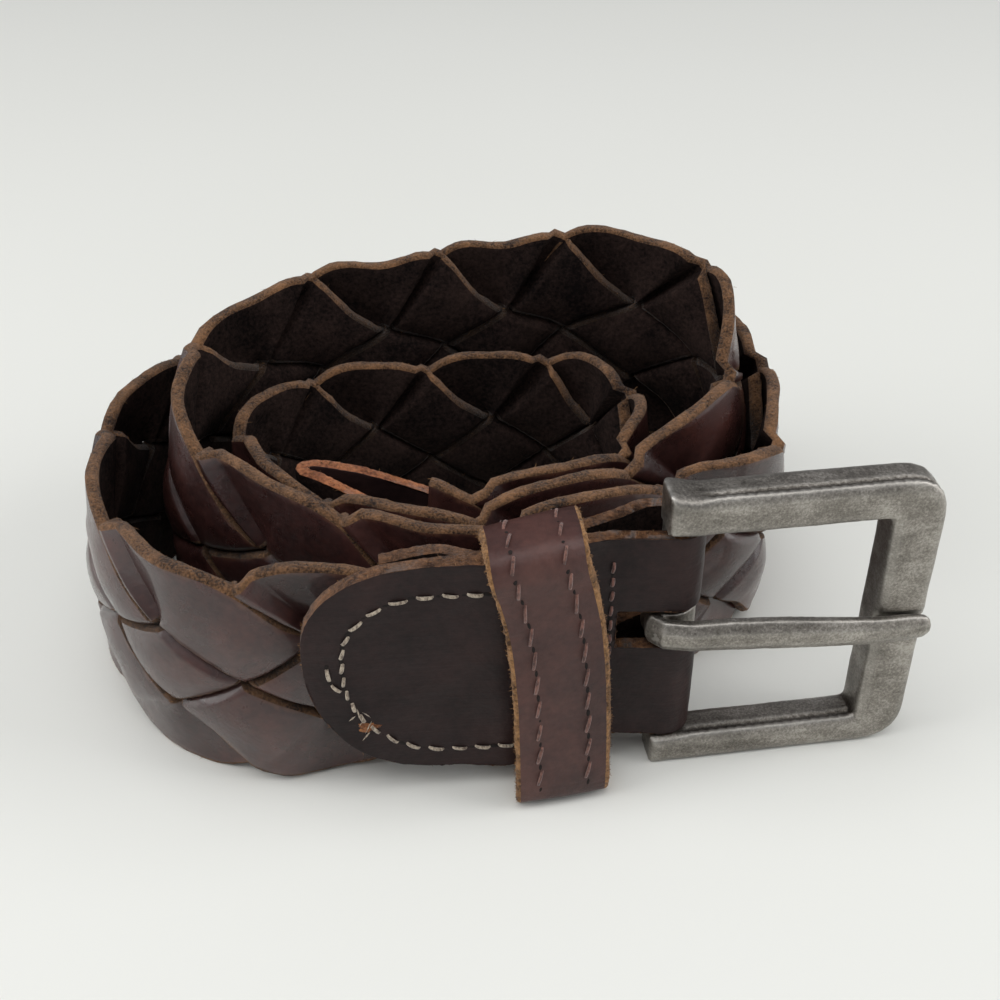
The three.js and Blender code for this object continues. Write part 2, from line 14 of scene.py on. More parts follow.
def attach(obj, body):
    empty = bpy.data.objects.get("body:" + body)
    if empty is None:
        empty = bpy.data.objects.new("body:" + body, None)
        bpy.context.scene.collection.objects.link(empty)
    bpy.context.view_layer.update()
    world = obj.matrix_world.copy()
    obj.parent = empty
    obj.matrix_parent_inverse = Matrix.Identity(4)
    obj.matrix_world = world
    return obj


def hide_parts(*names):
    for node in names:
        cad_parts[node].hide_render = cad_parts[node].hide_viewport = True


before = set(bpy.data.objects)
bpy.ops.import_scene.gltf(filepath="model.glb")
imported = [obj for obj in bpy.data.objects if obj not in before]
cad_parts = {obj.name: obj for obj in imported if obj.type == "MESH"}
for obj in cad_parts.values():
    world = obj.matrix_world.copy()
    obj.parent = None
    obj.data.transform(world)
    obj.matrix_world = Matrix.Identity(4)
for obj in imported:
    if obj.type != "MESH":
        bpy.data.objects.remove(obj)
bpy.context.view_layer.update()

MM = 0.001
COIL_DEPTH = 100
ORIGIN = (-1.7, 47.45)
GROUND_GAP = 0.05
ABOVE_FLOOR, ROUGH_ABOVE_FLOOR = 0.03, 0.02    # least height of a surface, even and roughened

# The band.
BAND_WIDTH = 41
STRAND_COUNT = 4
ZIGZAG = 0.376 * BAND_WIDTH
COVER, CAD_COVER = 0.955, 0.86   # share of its room that a strand's width takes, here and in the CAD
SHOULDER_LIFT, SHOULDER_AT, SHOULDER_END = 2.8, 0.5, 0.8
TURN_ROOM = 0.285
LEATHER = 2.1                    # thickness of a strand
RISE = 1.12                      # how far a strand lies from the band's middle, over or under
DOME = 0.95                      # how much an over-run bulges in its middle
BRAID_START, BRAID_END = 0.8, 31.75
RIM_FROM = 12.5                  # a cut edge further than this from the band's middle is at a rim: it keeps more fibres there, and the painted shade on the raw edges fades out about here
RAW_DEPTH = 0.95                 # section points less deep than this are on the raw edge

# The buckle, the strap, the tip and the keeper.
BAR = (25.2, 13.15)
BAR_RADIUS, CLEARANCE = 2, 0.35
TONGUE_Z, TONGUE_WIDTH = 27, 5
SLOT_REACH, SLOT_ROOM = 8.5, 0.8
STRAP_WIDTH, STRAP_THICK, STRAP_BOTTOM = 38.4, 2.2, 5.5
TAB_RISE, TAB_RADIUS = 3, 0.46 * STRAP_WIDTH
TIP_THICK, TIP_WIDTH, TIP_BOTTOM = 1.8, 34, 2
KEEPER_WIDTH, KEEPER_THICK, KEEPER_ALONG = 14.2, 2, 15.6
KEEPER_CROWN = 0.12              # how much the keeper bulges in the middle of its width

# Stitch line of the tab: inset at the top and the end, at the bottom, its two bends and its ends.
TAB_INSET, TAB_LOW_ROW, TAB_LOW_BEND, TAB_HIGH_BEND, TAB_ROW_END = 5.5, 2.9, 14.8, 12.2, 31
THREAD_RADIUS, KEEPER_THREAD = 0.30, 0.27
THREAD_OFF = 0.02                # how far a stitch's holes are off the leather's face

# Rolled bead and groove of the frame: distance behind its front edge, half width, height or depth.
BEAD_AT, BEAD_HALF, BEAD_HEIGHT = 0.7, 0.7, 0.28
GROOVE_AT, GROOVE_HALF, GROOVE_DEPTH = 2.0, 0.6, 0.26

# crossing, x, y, lift, lean, wide of the band's plan, as in the CAD source.
COIL = np.array([
    [0.5, -0.035, 0.103, 0.02, 0, 0.96],
    [1, -0.145, 0.080, 0.02, 0, 0.96],
    [1.5, -0.260, 0.071, 0.01, 0, 0.98],
    [2, -0.374, 0.056, 0, 0, 1],
    [2.5, -0.490, 0.098, 0, 2, 1],
    [3, -0.583, 0.205, 0, 0, 1],
    [3.5, -0.645, 0.325, 0, -4, 1],
    [4, -0.652, 0.451, 0, -5, 1],
    [4.5, -0.625, 0.570, 0, -3, 1],
    [5, -0.555, 0.685, 0, 0, 1],
    [6, -0.365, 0.845, 0, 0, 1],
    [7, -0.120, 0.925, 0, 0, 1],
    [8, 0.130, 0.950, 0, 0, 1],
    [9, 0.350, 0.870, 0, 0, 1],
    [9.5, 0.430, 0.770, 0, 0, 1],
    [10, 0.460, 0.650, 0, -2, 1],
    [10.5, 0.450, 0.525, 0, 2, 1],
    [11, 0.428, 0.415, 0, 4, 1],
    [11.4, 0.365, 0.345, 0, 4, 1],
    [12, 0.255, 0.295, 0, 1, 1],
    [12.5, 0.120, 0.232, 0, 0, 1],
    [13, 0.010, 0.183, 0, 0, 1],
    [13.5, -0.115, 0.164, 0.01, 0, 0.98],
    [14, -0.230, 0.198, 0.03, 0, 1],
    [14.5, -0.355, 0.248, 0.05, 0, 1],
    [15, -0.465, 0.320, 0.11, -3, 1],
    [15.5, -0.528, 0.420, 0.19, -6, 1],
    [16, -0.505, 0.545, 0.27, -5, 1],
    [16.5, -0.420, 0.640, 0.31, -2, 0.98],
    [17, -0.320, 0.705, 0.38, 0, 0.98],
    [17.5, -0.205, 0.730, 0.37, 0, 0.96],
    [18, -0.100, 0.755, 0.43, 0, 0.98],
    [18.5, 0.005, 0.775, 0.41, 0, 0.96],
    [19, 0.115, 0.790, 0.47, 0, 0.98],
    [19.5, 0.245, 0.775, 0.43, 0, 0.97],
    [20, 0.355, 0.705, 0.43, -2, 0.98],
    [20.5, 0.400, 0.610, 0.29, -5, 0.98],
    [21, 0.378, 0.510, 0.14, -4, 1],
    [21.5, 0.300, 0.420, 0.05, -1, 1],
    [22, 0.195, 0.340, 0, 0, 1],
    [22.5, 0.080, 0.282, 0, 0, 0.98],
    [23, -0.040, 0.232, 0, 0, 0.96],
    [23.5, -0.155, 0.240, 0, 0, 0.94],
    [24, -0.270, 0.284, 0, 0, 0.94],
    [24.5, -0.372, 0.352, 0, 0, 0.96],
    [25, -0.420, 0.450, 0, 0, 0.97],
    [25.5, -0.395, 0.545, 0, 0, 0.97],
    [26, -0.320, 0.615, 0, 0, 0.97],
    [27, -0.125, 0.660, 0, 0, 0.97],
    [28, 0.085, 0.680, 0, 0, 0.98],
    [28.5, 0.170, 0.645, 0, 0, 0.98],
    [29, 0.218, 0.570, 0, 0, 0.98],
    [29.5, 0.228, 0.485, 0, 0, 0.97],
    [30, 0.190, 0.412, 0, 0, 0.95],
    [30.5, 0.095, 0.355, 0, 0, 0.93],
    [31, -0.045, 0.312, 0, 0, 0.93],
    [31.5, -0.115, 0.320, 0, 0, 0.93],
    [31.8, -0.160, 0.333, 0, 0, 0.93],
])

# along, ahead, drop, sag of the folded strap's middle line.
STRAP_TAB = [
    (53.5, 11.5, 0, 0.3), (52.2, 11.4, 0, 0.4), (49.9, 11.2, 0.1, 0.5), (46.4, 10.8, 0.2, 0.6),
    (41.9, 10.1, 0.3, 0.6), (36.0, 9.4, 0.3, 0.6),
]
STRAP_FRONT = [
    (30.0, 8.9, 0.3, 1.0), (25.0, 8.6, 0.3, 1.6), (21.0, 7.7, 0.1, 1.2), (17.0, 6.1, 0, 0.6),
    (13.0, 4.3, 0, 0.2), (9.0, 3.3, 0, 0), (4, 3.25, 0, 0),
]
STRAP_REAR = [
    (4, -4.3, 0, 0), (8, -1.9, 0, 0), (12, 0.2, 0, 0), (16.5, 2.4, 0, 0), (21.0, 4.6, 0.3, 0),
    (25.0, 5.5, 0.8, 0), (28.6, 4.9, 2.4, 0), (31.2, 3.0, 3.4, 0), (34.0, 1.2, 4.2, 0),
    (37.0, 1.25, 4.6, 0), (42.6, 2.05, 5.5, 0),
]
# x, y, drop of the tip.
TIP = [
    (-0.072, 0.275, 0.20), (-0.086, 0.278, 0.20), (-0.110, 0.283, 0.18), (-0.140, 0.292, 0.14),
    (-0.220, 0.323, 0.05), (-0.290, 0.353, 0), (-0.311, 0.365, 0), (-0.318, 0.378, 0),
    (-0.308, 0.389, 0), (-0.285, 0.388, 0), (-0.220, 0.379, 0.02), (-0.140, 0.369, 0.08),
    (-0.060, 0.357, 0.16),
]
# left, right, up, shift, tilt of the keeper's loop.
KEEPER = np.array([
    [14.5, 11.5, 4, 0, 0],
    [13.7, 10.7, 13, 0.2, 0],
    [12.9, 9.8, 22, 0.6, 0],
    [12.2, 8.9, 32, 1.6, 0],
    [12.2, 8.5, 39, 3.0, 0.3],
    [12.8, 8.8, 42.8, 3.9, 0.4],
    [11.4, 7.3, 45.6, 4.6, 0.4],
    [6.6, 2.7, 45.8, 5.2, 0.6],
    [3.8, -0.6, 45.0, 5.6, 0.9],
    [2.0, -2.3, 41.8, 5.2, 0.6],
    [2.0, -3.1, 30, 2.4, 0],
    [2.0, -3.9, 17, 0.8, 0],
    [2.2, -4.4, 6, 0, 0],
    [3.8, -2.0, 2.0, 0, 0],
    [7.0, 2.4, 1, 0, 0],
    [11.0, 7.8, 1, 0, 0],
    [13.9, 10.9, 1.8, 0, 0],
])


# Small helpers.
def smooth_slopes(x, rows):
    before = np.concatenate([rows[:1], rows[:-1]])
    after = np.concatenate([rows[1:], rows[-1:]])
    xb = np.concatenate([x[:1], x[:-1]])
    xa = np.concatenate([x[1:], x[-1:]])
    return (after - before) / (xa - xb)[:, None]


def hermite(x, rows, slopes, at):
    at = np.asarray(at, float)
    i = np.clip(np.searchsorted(x, at, side="right") - 1, 0, len(x) - 2)
    span = (x[i + 1] - x[i])[..., None]
    t = (at - x[i])[..., None] / span
    t2, t3 = t * t, t * t * t
    return ((2 * t3 - 3 * t2 + 1) * rows[i] + (t3 - 2 * t2 + t) * span * slopes[i]
            + (3 * t2 - 2 * t3) * rows[i + 1] + (t3 - t2) * span * slopes[i + 1])


COIL_SLOPES = smooth_slopes(COIL[:, 0], COIL[:, 1:])


def band_point(crossing, across, out):
    """Point of the band in mm: across from its middle line up, out away from the coil."""
    step = 0.02
    here, fore, back = (hermite(COIL[:, 0], COIL[:, 1:], COIL_SLOPES, crossing + by)
                        for by in (0, step, -step))
    x, y, lift, lean, wide = np.moveaxis(here, -1, 0)
    dx, dy = fore[..., 0] - back[..., 0], fore[..., 1] - back[..., 1]
    length = np.hypot(dx, dy)
    nx, ny = -dy / length, dx / length
    lean = np.radians(lean)
    side = wide * across * np.sin(lean) + out * np.cos(lean)
    up = wide * across * np.cos(lean) - out * np.sin(lean)
    base = GROUND_GAP + BAND_WIDTH * (wide / 2 + np.maximum(lift, 0))
    return np.stack([
        COIL_DEPTH * x + side * nx - ORIGIN[0],
        COIL_DEPTH * y + side * ny - ORIGIN[1],
        np.maximum(base + up, ABOVE_FLOOR),
    ], -1)


def smoothstep(t):
    t = np.clip(t, 0, 1)
    return t * t * (3 - 2 * t)


def wobble(x, seed, scale):
    """Smooth noise of a list of numbers."""
    flat = np.asarray(x, float).ravel()
    values = [noise.noise(Vector((v * scale, seed * 7.31, 0.5 * seed))) for v in flat]
    return np.array(values).reshape(np.shape(x))


def rough(points, size, seed):
    """Noise of a list of points, features of about size mm."""
    flat = points.reshape(-1, 3) / size
    shift = Vector((seed * 3.1, seed * 1.7, seed * 2.3))
    values = [noise.noise(Vector(p) + shift) for p in flat]
    return np.array(values).reshape(points.shape[:-1])


def scatter(rng, size):
    """Random vector with that spread each way."""
    return np.array([rng.gauss(0, size) for _ in range(3)])


def make_piece(name, points, faces, materials, slots=None, uv=None, body="belt", smooth=True):
    """Mesh object from points in mm; slots gives each face's material."""
    points = np.asarray(points).reshape(-1, 3) * MM
    mesh = bpy.data.meshes.new(name)
    mesh.from_pydata(points.tolist(), [], [tuple(int(i) for i in f) for f in faces])
    for m in materials:
        mesh.materials.append(m)
    if slots is not None:
        mesh.polygons.foreach_set("material_index", np.asarray(slots, np.int32))
    if smooth:
        mesh.polygons.foreach_set("use_smooth", np.ones(len(mesh.polygons), bool))
    if uv is not None:
        add_layer(mesh, "strip", uv)
    mesh.update()
    piece = bpy.data.objects.new(name, mesh)
    bpy.context.scene.collection.objects.link(piece)
    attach(piece, body)
    return piece


def add_layer(mesh, name, uv):
    """UV layer from one pair a point."""
    layer = mesh.uv_layers.new(name=name)
    loops = np.zeros(len(mesh.loops), np.int32)
    mesh.loops.foreach_get("vertex_index", loops)
    layer.data.foreach_set("uv", np.asarray(uv, np.float32).reshape(-1, 2)[loops].ravel())


def strip_uv(along, across):
    """Pairs for a grid of points, from their distance along the strip and share across it."""
    return np.stack(np.meshgrid(along, across, indexing="ij"), -1)


def rework(piece, work):
    """Does a piece of bmesh work on the piece's mesh."""
    bm = bmesh.new()
    bm.from_mesh(piece.data)
    work(bm)
    bm.to_mesh(piece.data)
    bm.free()


def face_out(piece):
    rework(piece, lambda bm: bmesh.ops.recalc_face_normals(bm, faces=bm.faces))


def points_of(mesh):
    """Points and normals of a mesh, in metres."""
    points, normals = np.zeros((2, len(mesh.vertices) * 3), np.float32)
    mesh.vertices.foreach_get("co", points)
    mesh.vertices.foreach_get("normal", normals)
    return points.reshape(-1, 3).astype(float), normals.reshape(-1, 3)


def move_points(mesh, points):
    mesh.vertices.foreach_set("co", points.astype(np.float32).ravel())
    mesh.update()


def tube_faces(rings, sides, closed=False):
    faces = []
    for i in range(rings if closed else rings - 1):
        j = (i + 1) % rings
        for k in range(sides):
            n = (k + 1) % sides
            faces.append((i * sides + k, i * sides + n, j * sides + n, j * sides + k))
    if not closed:
        faces.append(tuple(range(sides))[::-1])
        faces.append(tuple((rings - 1) * sides + k for k in range(sides)))
    return faces


# Section of a leather strip: place across from 0 to 1 and depth from -1 to 1, with its side.
FACE_STEPS = 11
GRAIN, FLESH, EDGE = 0, 1, 2


def strip_profile(edge):
    """edge is the share of the width that the rounded raw edge takes."""
    turn = [(1 - 0.35 * edge, 0.86), (1, 0.45), (1, 0), (1, -0.45), (1 - 0.35 * edge, -0.86)]
    section = [(w, 1) for w in np.linspace(edge, 1 - edge, FACE_STEPS)] + turn
    section += [(w, -1) for w in np.linspace(1 - edge, edge, FACE_STEPS)]
    section += [(1 - w, -d) for w, d in turn]
    places, depths = (np.array(column, float) for column in zip(*section))
    sides = [side for face in (GRAIN, FLESH)
             for side in [face] * (FACE_STEPS - 1) + [EDGE] * (len(turn) + 1)]
    return places, depths, sides


# The braid.
def shoulder_lift(offset):
    """Extra height of a strand's outer edge, which laps over the next strand beside its turn."""
    near = abs(offset)
    t = near / SHOULDER_AT if near < SHOULDER_AT else (SHOULDER_END - near) / (SHOULDER_END - SHOULDER_AT)
    return SHOULDER_LIFT * float(smoothstep(t))


def turn_edges(t, cover):
    """Outer and inner edge of a strand at a turn, t from -1 to 1 across it."""
    reach = 0.25 + 0.25 * cover
    shoulder = (0.75 + 0.25 * cover) * ZIGZAG
    drop = BAND_WIDTH / 2 - shoulder
    quartic = (ZIGZAG * reach - 2 * drop) / 2
    inset = 0.25 * (1 - cover)
    edge = BAND_WIDTH / 2 - (drop - quartic) * t * t - quartic * t ** 4
    outer = (t * reach, edge + shoulder_lift(t * reach))
    inner = (t * inset, (0.75 - 0.25 * cover) * ZIGZAG + 0.5 * (1 - t * t) * inset * ZIGZAG)
    return outer, inner


def strand_edges(place, cover):
    """Upper and lower edge of a strand, as (crossing from its middle, height)."""
    size = abs(place)
    if size <= 0.25:
        return turn_edges(place / 0.25, cover)
    if size >= 1.75:
        outer, inner = turn_edges((place - 2 if place > 0 else place + 2) / 0.25, cover)
        return (inner[0], -inner[1]), (outer[0], -outer[1])
    middle = ZIGZAG * (1 - size)
    side = math.copysign(0.25 * cover, place)
    half = 0.25 * cover * ZIGZAG
    lift = shoulder_lift(size + 0.25 * cover) if size < 1 else 0
    sink = shoulder_lift(2 - size + 0.25 * cover) if size > 1 else 0
    return (side, middle + half + lift), (-side, middle - half - sink)


OVER_UNDER = [(-2.5, -1), (-1.5, 1), (-1, -1), (-0.5, 1), (0.5, -1), (1, 1), (1.5, -1), (2.5, 1)]


def weave(place):
    """Over or under, from 1 to -1, and how far into the middle of a run the place is."""
    for (a, from_), (b, to) in zip(OVER_UNDER[:-1], OVER_UNDER[1:]):
        half = TURN_ROOM if abs(a + b) in (0, 4) else 0.25 * CAD_COVER
        if a - half <= place <= b + half:
            t = (place - a - half) / (b - a - 2 * half)
            if t <= 1:
                height = from_ + (to - from_) * float(smoothstep(t))
                near = a if place < (a + b) / 2 else b
                run = max(0.0, 1 - (abs(place - near) / 0.32) ** 2)
                return height, run * (from_ if near == a else to)
    return 1.0, 0.0


def strand_rows(number):
    """Sections of a strand: crossing, upper edge, lower edge, height and run."""
    rows = []
    for crossing in np.arange(BRAID_START + 0.25, BRAID_END - 0.25, 0.03):
        shifted = crossing - (number + 0.5) + STRAND_COUNT / 2
        place = shifted - STRAND_COUNT * math.floor(shifted / STRAND_COUNT) - STRAND_COUNT / 2
        upper, lower = strand_edges(place, COVER)
        size = abs(place)
        centre = crossing
        if size <= 0.25:
            centre = crossing - place
        elif size >= 1.75:
            centre = crossing - place + 2 * math.copysign(1, place)
        height, run = weave(place)
        rows.append((crossing, centre + upper[0], upper[1], centre + lower[0], lower[1], height, run))
    return np.array(rows)


def strand_surface(number, w, d):
    """Points of a strand for places across w and depths d, one row of points a section."""
    crossing, upper_u, upper_v, lower_u, lower_v, height, run = strand_rows(number).T
    sway = 0.25 * wobble(crossing, number + 1, 0.9)
    pinch = 0.03 * wobble(crossing, number + 11, 1.3)
    across = w[None, :] + pinch[:, None] * (w[None, :] - 0.5)
    u = lower_u[:, None] + (upper_u - lower_u)[:, None] * across
    v = lower_v[:, None] + (upper_v - lower_v)[:, None] * across + sway[:, None] * 0.4
    limit = BAND_WIDTH / 2
    v = np.clip(v, -limit, limit + 0.3)
    edge = np.abs(2 * w[None, :] - 1)
    bow = RISE * height[:, None] * (1 - 0.26 * edge ** 2.2)
    bow = bow + DOME * run[:, None] * (1 - edge ** 2)
    tilt = 0.22 * wobble(crossing, number + 21, 0.7)[:, None] * (2 * w[None, :] - 1)
    out = bow + tilt + d[None, :] * LEATHER / 2
    return band_point(u, v, out), v


def strand(number, materials):
    w, d, sides = strip_profile(0.05)
    points, heights = strand_surface(number, w, d)
    rings, n = points.shape[:2]
    ahead = np.roll(points, -1, axis=1) - np.roll(points, 1, axis=1)
    along = np.gradient(points, axis=0)
    normal = np.cross(along, ahead)
    normal /= np.linalg.norm(normal, axis=2, keepdims=True) + 1e-9
    frayed = (np.abs(d) < RAW_DEPTH).astype(float)
    bumps = rough(points, 0.7, number + 3) * 0.16 * frayed[None, :]
    creases = rough(points, 5.0, number + 30) * 0.16 + rough(points, 2.0, number + 40) * 0.05
    points = points + normal * (bumps + creases)[..., None]
    points[..., 2] = np.maximum(points[..., 2], ROUGH_ABOVE_FLOOR)
    steps = np.linalg.norm(np.diff(points.mean(1), axis=0), axis=1)
    length = np.concatenate([[0], np.cumsum(steps)])
    faces = tube_faces(rings, n)
    slots = sides * (rings - 1) + [EDGE, EDGE]
    piece = make_piece(f"braid_{number + 1}", points, faces, materials, slots, strip_uv(length * MM, w))
    face_out(piece)
    # Painted shade for the raw edges, kept in the 'rim' layer: away from the band's rims the edges are darkened,
    # their inner half most, as the inside of the braid lies in shade.
    depth_shade = 0.35 + 0.25 * np.clip(d[None, :], -1, 1)
    rim = smoothstep((np.abs(heights) - RIM_FROM + 4) / 7)
    shade = depth_shade + (1 - depth_shade) * rim
    add_layer(piece.data, "rim", np.stack([shade, shade], -1))
    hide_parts(f"strand_{number + 1}")
    return points, normal, heights, d


def fibre(points, faces, root, way, length, thick, bend):
    """Thin closed spindle with a bent middle."""
    way = way / (np.linalg.norm(way) + 1e-9)
    side = np.cross(way, [0.3, 0.5, 0.81])
    side /= np.linalg.norm(side) + 1e-9
    other = np.cross(way, side)
    middle = root + way * length * 0.45 + bend
    base = len(points)
    points.append(root - way * 0.2)
    for k in range(3):
        angle = 2 * math.pi * k / 3
        points.append(middle + (side * math.cos(angle) + other * math.sin(angle)) * thick)
    points.append(root + way * length + bend * 2.6)
    for k in range(3):
        n = (k + 1) % 3
        faces.append((base, base + 1 + n, base + 1 + k))
        faces.append((base + 4, base + 1 + k, base + 1 + n))


def edge_fibres(name, surface, per_section, material, seed):
    """Fine fibres that stand out of a strip's two raw edges, most of them at the upper rim."""
    points_in, normal, heights, d = surface
    rng = random.Random(seed)
    points, faces = [], []
    columns = [k for k in range(len(d)) if abs(d[k]) < RAW_DEPTH]
    for i in range(len(points_in)):
        for _ in range(per_section):
            k = rng.choice(columns)
            if heights[i, k] < RIM_FROM and rng.random() < 0.75:
                continue
            root = points_in[i, k]
            way = normal[i, k] + scatter(rng, 0.55)
            length = rng.uniform(0.25, 0.8) * (1.9 if rng.random() < 0.08 else 1)
            bend = scatter(rng, 0.12) * length
            if root[2] + way[2] * length < 0.3:
                continue
            fibre(points, faces, root, way, length, rng.uniform(0.03, 0.055), bend)
    piece = make_piece(name, points, faces, [material], smooth=False)
    return piece


# Leather walls: the strap and the tip.
def smooth_line(rows, step):
    """Points of a smooth line through the rows, about step mm apart, with every column carried."""
    rows = np.array(rows, float)
    at = np.concatenate([[0], np.cumsum(np.hypot(*np.diff(rows[:, :2], axis=0).T))])
    slopes = smooth_slopes(at, rows)
    places = np.linspace(0, at[-1], max(2, int(at[-1] / step)))
    return hermite(at, rows, slopes, places), places


def outline_start(height, width, radius):
    """How far the rounded end is cut back at a height from the strip's middle."""
    over = np.clip(np.abs(height) - (width / 2 - radius), 0, radius)
    return radius - np.sqrt(np.maximum(radius ** 2 - over ** 2, 0))


def wall_sheet(line, places, width, bottom, radius, rise, rows_across):
    """Grid of middle-surface points of an upright strip with one rounded end, and its flat places."""
    total = places[-1]
    reach = min(2.2 * radius, total * 0.8)
    v = np.linspace(-1, 1, rows_across)
    grid = np.zeros((len(places), rows_across, 3))
    flat = np.zeros((len(places), rows_across, 2))
    slopes = smooth_slopes(places, line)
    for j, side in enumerate(v):
        cut = outline_start(side * width / 2, width, radius)
        s = np.where(places < reach, places + cut * (1 - places / reach), places)
        row = hermite(places, line, slopes, s)
        low = bottom - row[:, 3]
        high = bottom + width - row[:, 2]
        lift = rise * (1 - np.minimum(s / radius, 1)) ** 2
        z = low + (high - low) * (side + 1) / 2 + lift
        grid[:, j, 0] = row[:, 0] - ORIGIN[0]
        grid[:, j, 1] = row[:, 1] - ORIGIN[1]
        grid[:, j, 2] = z
        flat[:, j, 0] = s
        flat[:, j, 1] = z
    return grid, flat


def sheet_piece(name, grid, flat, thick, materials, hole=None):
    """Strip of leather from its middle surface: faces, rounded raw edge and, if asked, a slot."""
    n, m = grid.shape[:2]
    index = np.arange(n * m).reshape(n, m)
    faces = []
    for i in range(n - 1):
        for j in range(m - 1):
            if hole is not None:
                s, z = flat[i:i + 2, j:j + 2].mean((0, 1))
                if hole[0] < s < hole[1] and hole[2] < z < hole[3]:
                    continue
            faces.append((index[i, j], index[i + 1, j], index[i + 1, j + 1], index[i, j + 1]))
    piece = make_piece(name, grid, faces, materials, [0] * len(faces), flat * MM)
    rework(piece, lambda bm: bmesh.ops.delete(
        bm, geom=[v for v in bm.verts if not v.link_faces], context="VERTS"))
    solid = piece.modifiers.new("thickness", "SOLIDIFY")
    solid.thickness = thick * MM
    solid.offset = 0
    solid.use_even_offset = True
    solid.material_offset = FLESH
    solid.material_offset_rim = EDGE
    bevel = piece.modifiers.new("worn edges", "BEVEL")
    bevel.width = 0.42 * MM
    bevel.segments = 3
    bevel.limit_method = "ANGLE"
    bevel.angle_limit = math.radians(50)
    return bake(piece)


def bake(piece):
    """The piece with its modifiers worked into its mesh."""
    bpy.context.view_layer.update()
    graph = bpy.context.evaluated_depsgraph_get()
    mesh = bpy.data.meshes.new_from_object(piece.evaluated_get(graph))
    old = piece.data
    piece.modifiers.clear()
    piece.data = mesh
    mesh.name = piece.name
    bpy.data.meshes.remove(old)
    mesh.polygons.foreach_set("use_smooth", np.ones(len(mesh.polygons), bool))
    return piece


def displace(piece, parts):
    """Moves points along their normals by noise: parts are (feature size, height, seed) in mm."""
    points, normals = points_of(piece.data)
    for size, height, seed in parts:
        points += normals * (rough(points / MM, size, seed) * height * MM)[:, None]
    points[:, 2] = np.maximum(points[:, 2], ROUGH_ABOVE_FLOOR * MM)
    move_points(piece.data, points)


def roughen_edge(piece, size, height, seed):
    """Uneven cut edge: only the points of the raw edge's faces move."""
    mesh = piece.data
    chosen = sorted({v for p in mesh.polygons if p.material_index == EDGE for v in p.vertices})
    points = np.array([mesh.vertices[v].co for v in chosen])
    moved = rough(points / MM, size, seed) * height * MM
    for v, point, shift in zip(chosen, points, moved):
        mesh.vertices[v].co = Vector(point) + mesh.vertices[v].normal * float(shift)
    mesh.update()


def edge_surface_fibres(name, piece, count, material, seed):
    """Fibres that stand out of the faces of the raw edge."""
    rng = random.Random(seed)
    faces_in = [p for p in piece.data.polygons if p.material_index == EDGE]
    areas = [p.area for p in faces_in]
    points, faces = [], []
    for p in rng.choices(faces_in, areas, k=count):
        corners = [np.array(piece.data.vertices[v].co) / MM for v in p.vertices]
        shares = [rng.random() for _ in corners]
        root = sum(c * s for c, s in zip(corners, shares)) / sum(shares)
        way = np.array(p.normal) + scatter(rng, 0.6)
        length = rng.uniform(0.2, 0.5)
        if root[2] + way[2] * length < 0.25:
            continue
        bend = scatter(rng, 0.12) * length
        fibre(points, faces, root, way, length, rng.uniform(0.03, 0.05), bend)
    return make_piece(name, points, faces, [material], smooth=False)


def strap_line():
    bend = BAR_RADIUS + CLEARANCE + STRAP_THICK / 2
    rows = list(STRAP_TAB + STRAP_FRONT)
    for angle in range(-75, 76, 15):
        a = math.radians(angle)
        swell = 1 + angle / 220 if angle > 0 else 1
        rows.append((-bend * math.cos(a), -swell * bend * math.sin(a), 0, 0))
    rows += STRAP_REAR
    return [(BAR[0] - along, BAR[1] - ahead, drop, sag) for along, ahead, drop, sag in rows]


def buckle_strap(materials):
    line, places = smooth_line(strap_line(), 0.55)
    grid, flat = wall_sheet(line, places, STRAP_WIDTH, STRAP_BOTTOM, TAB_RADIUS, TAB_RISE, 78)
    middle = grid.shape[1] // 2
    past_bar = flat[grid[:, middle, 0] > BAR[0] - ORIGIN[0] - SLOT_REACH, middle, 0]
    half = TONGUE_WIDTH / 2 + SLOT_ROOM
    hole = (past_bar[0], past_bar[-1], TONGUE_Z - half, TONGUE_Z + half)
    piece = sheet_piece("folded_strap", grid, flat, STRAP_THICK, materials, hole)
    displace(piece, [(9, 0.22, 5), (2.5, 0.05, 6)])
    roughen_edge(piece, 0.7, 0.16, 7)
    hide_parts("buckle_strap")
    return piece, line, places


def tip_piece(materials):
    rows = [(COIL_DEPTH * x, COIL_DEPTH * y, TIP_WIDTH * drop, 0) for x, y, drop in TIP]
    line, places = smooth_line(rows, 0.6)
    grid, flat = wall_sheet(line, places, TIP_WIDTH, TIP_BOTTOM, 0.3 * TIP_WIDTH, 0, 60)
    piece = sheet_piece("folded_tip", grid, flat, TIP_THICK, materials)
    displace(piece, [(7, 0.2, 15), (2.2, 0.05, 16)])
    roughen_edge(piece, 0.7, 0.2, 17)
    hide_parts("belt_tip")
    return piece, line, places


# The keeper: a closed loop of leather.
def keeper_points(at, w, depth):
    """Points for places at round the loop, w across from its left edge and depth out of it."""
    rows = np.vstack([KEEPER[-2:], KEEPER, KEEPER[:3]])
    index = np.arange(-2, len(KEEPER) + 3, dtype=float)
    slopes = smooth_slopes(index, rows)
    step = 0.03
    row, fore, back = (hermite(index, rows, slopes, at + by) for by in (0, step, -step))
    d_ahead = fore[..., 0] - back[..., 0]
    d_up = fore[..., 2] - back[..., 2]
    length = np.hypot(d_ahead, d_up)
    depth = depth + KEEPER_CROWN * (1 - (2 * w - 1) ** 2)
    ahead = row[..., 0] + (row[..., 1] - row[..., 0]) * w + depth * d_up / length
    up = row[..., 2] - depth * d_ahead / length - row[..., 4] * (1 - w)
    along = KEEPER_ALONG + KEEPER_WIDTH / 2 - w * KEEPER_WIDTH + row[..., 3]
    return np.stack([BAR[0] - along - ORIGIN[0], BAR[1] - ahead - ORIGIN[1],
                     np.maximum(up, ABOVE_FLOOR)], -1)


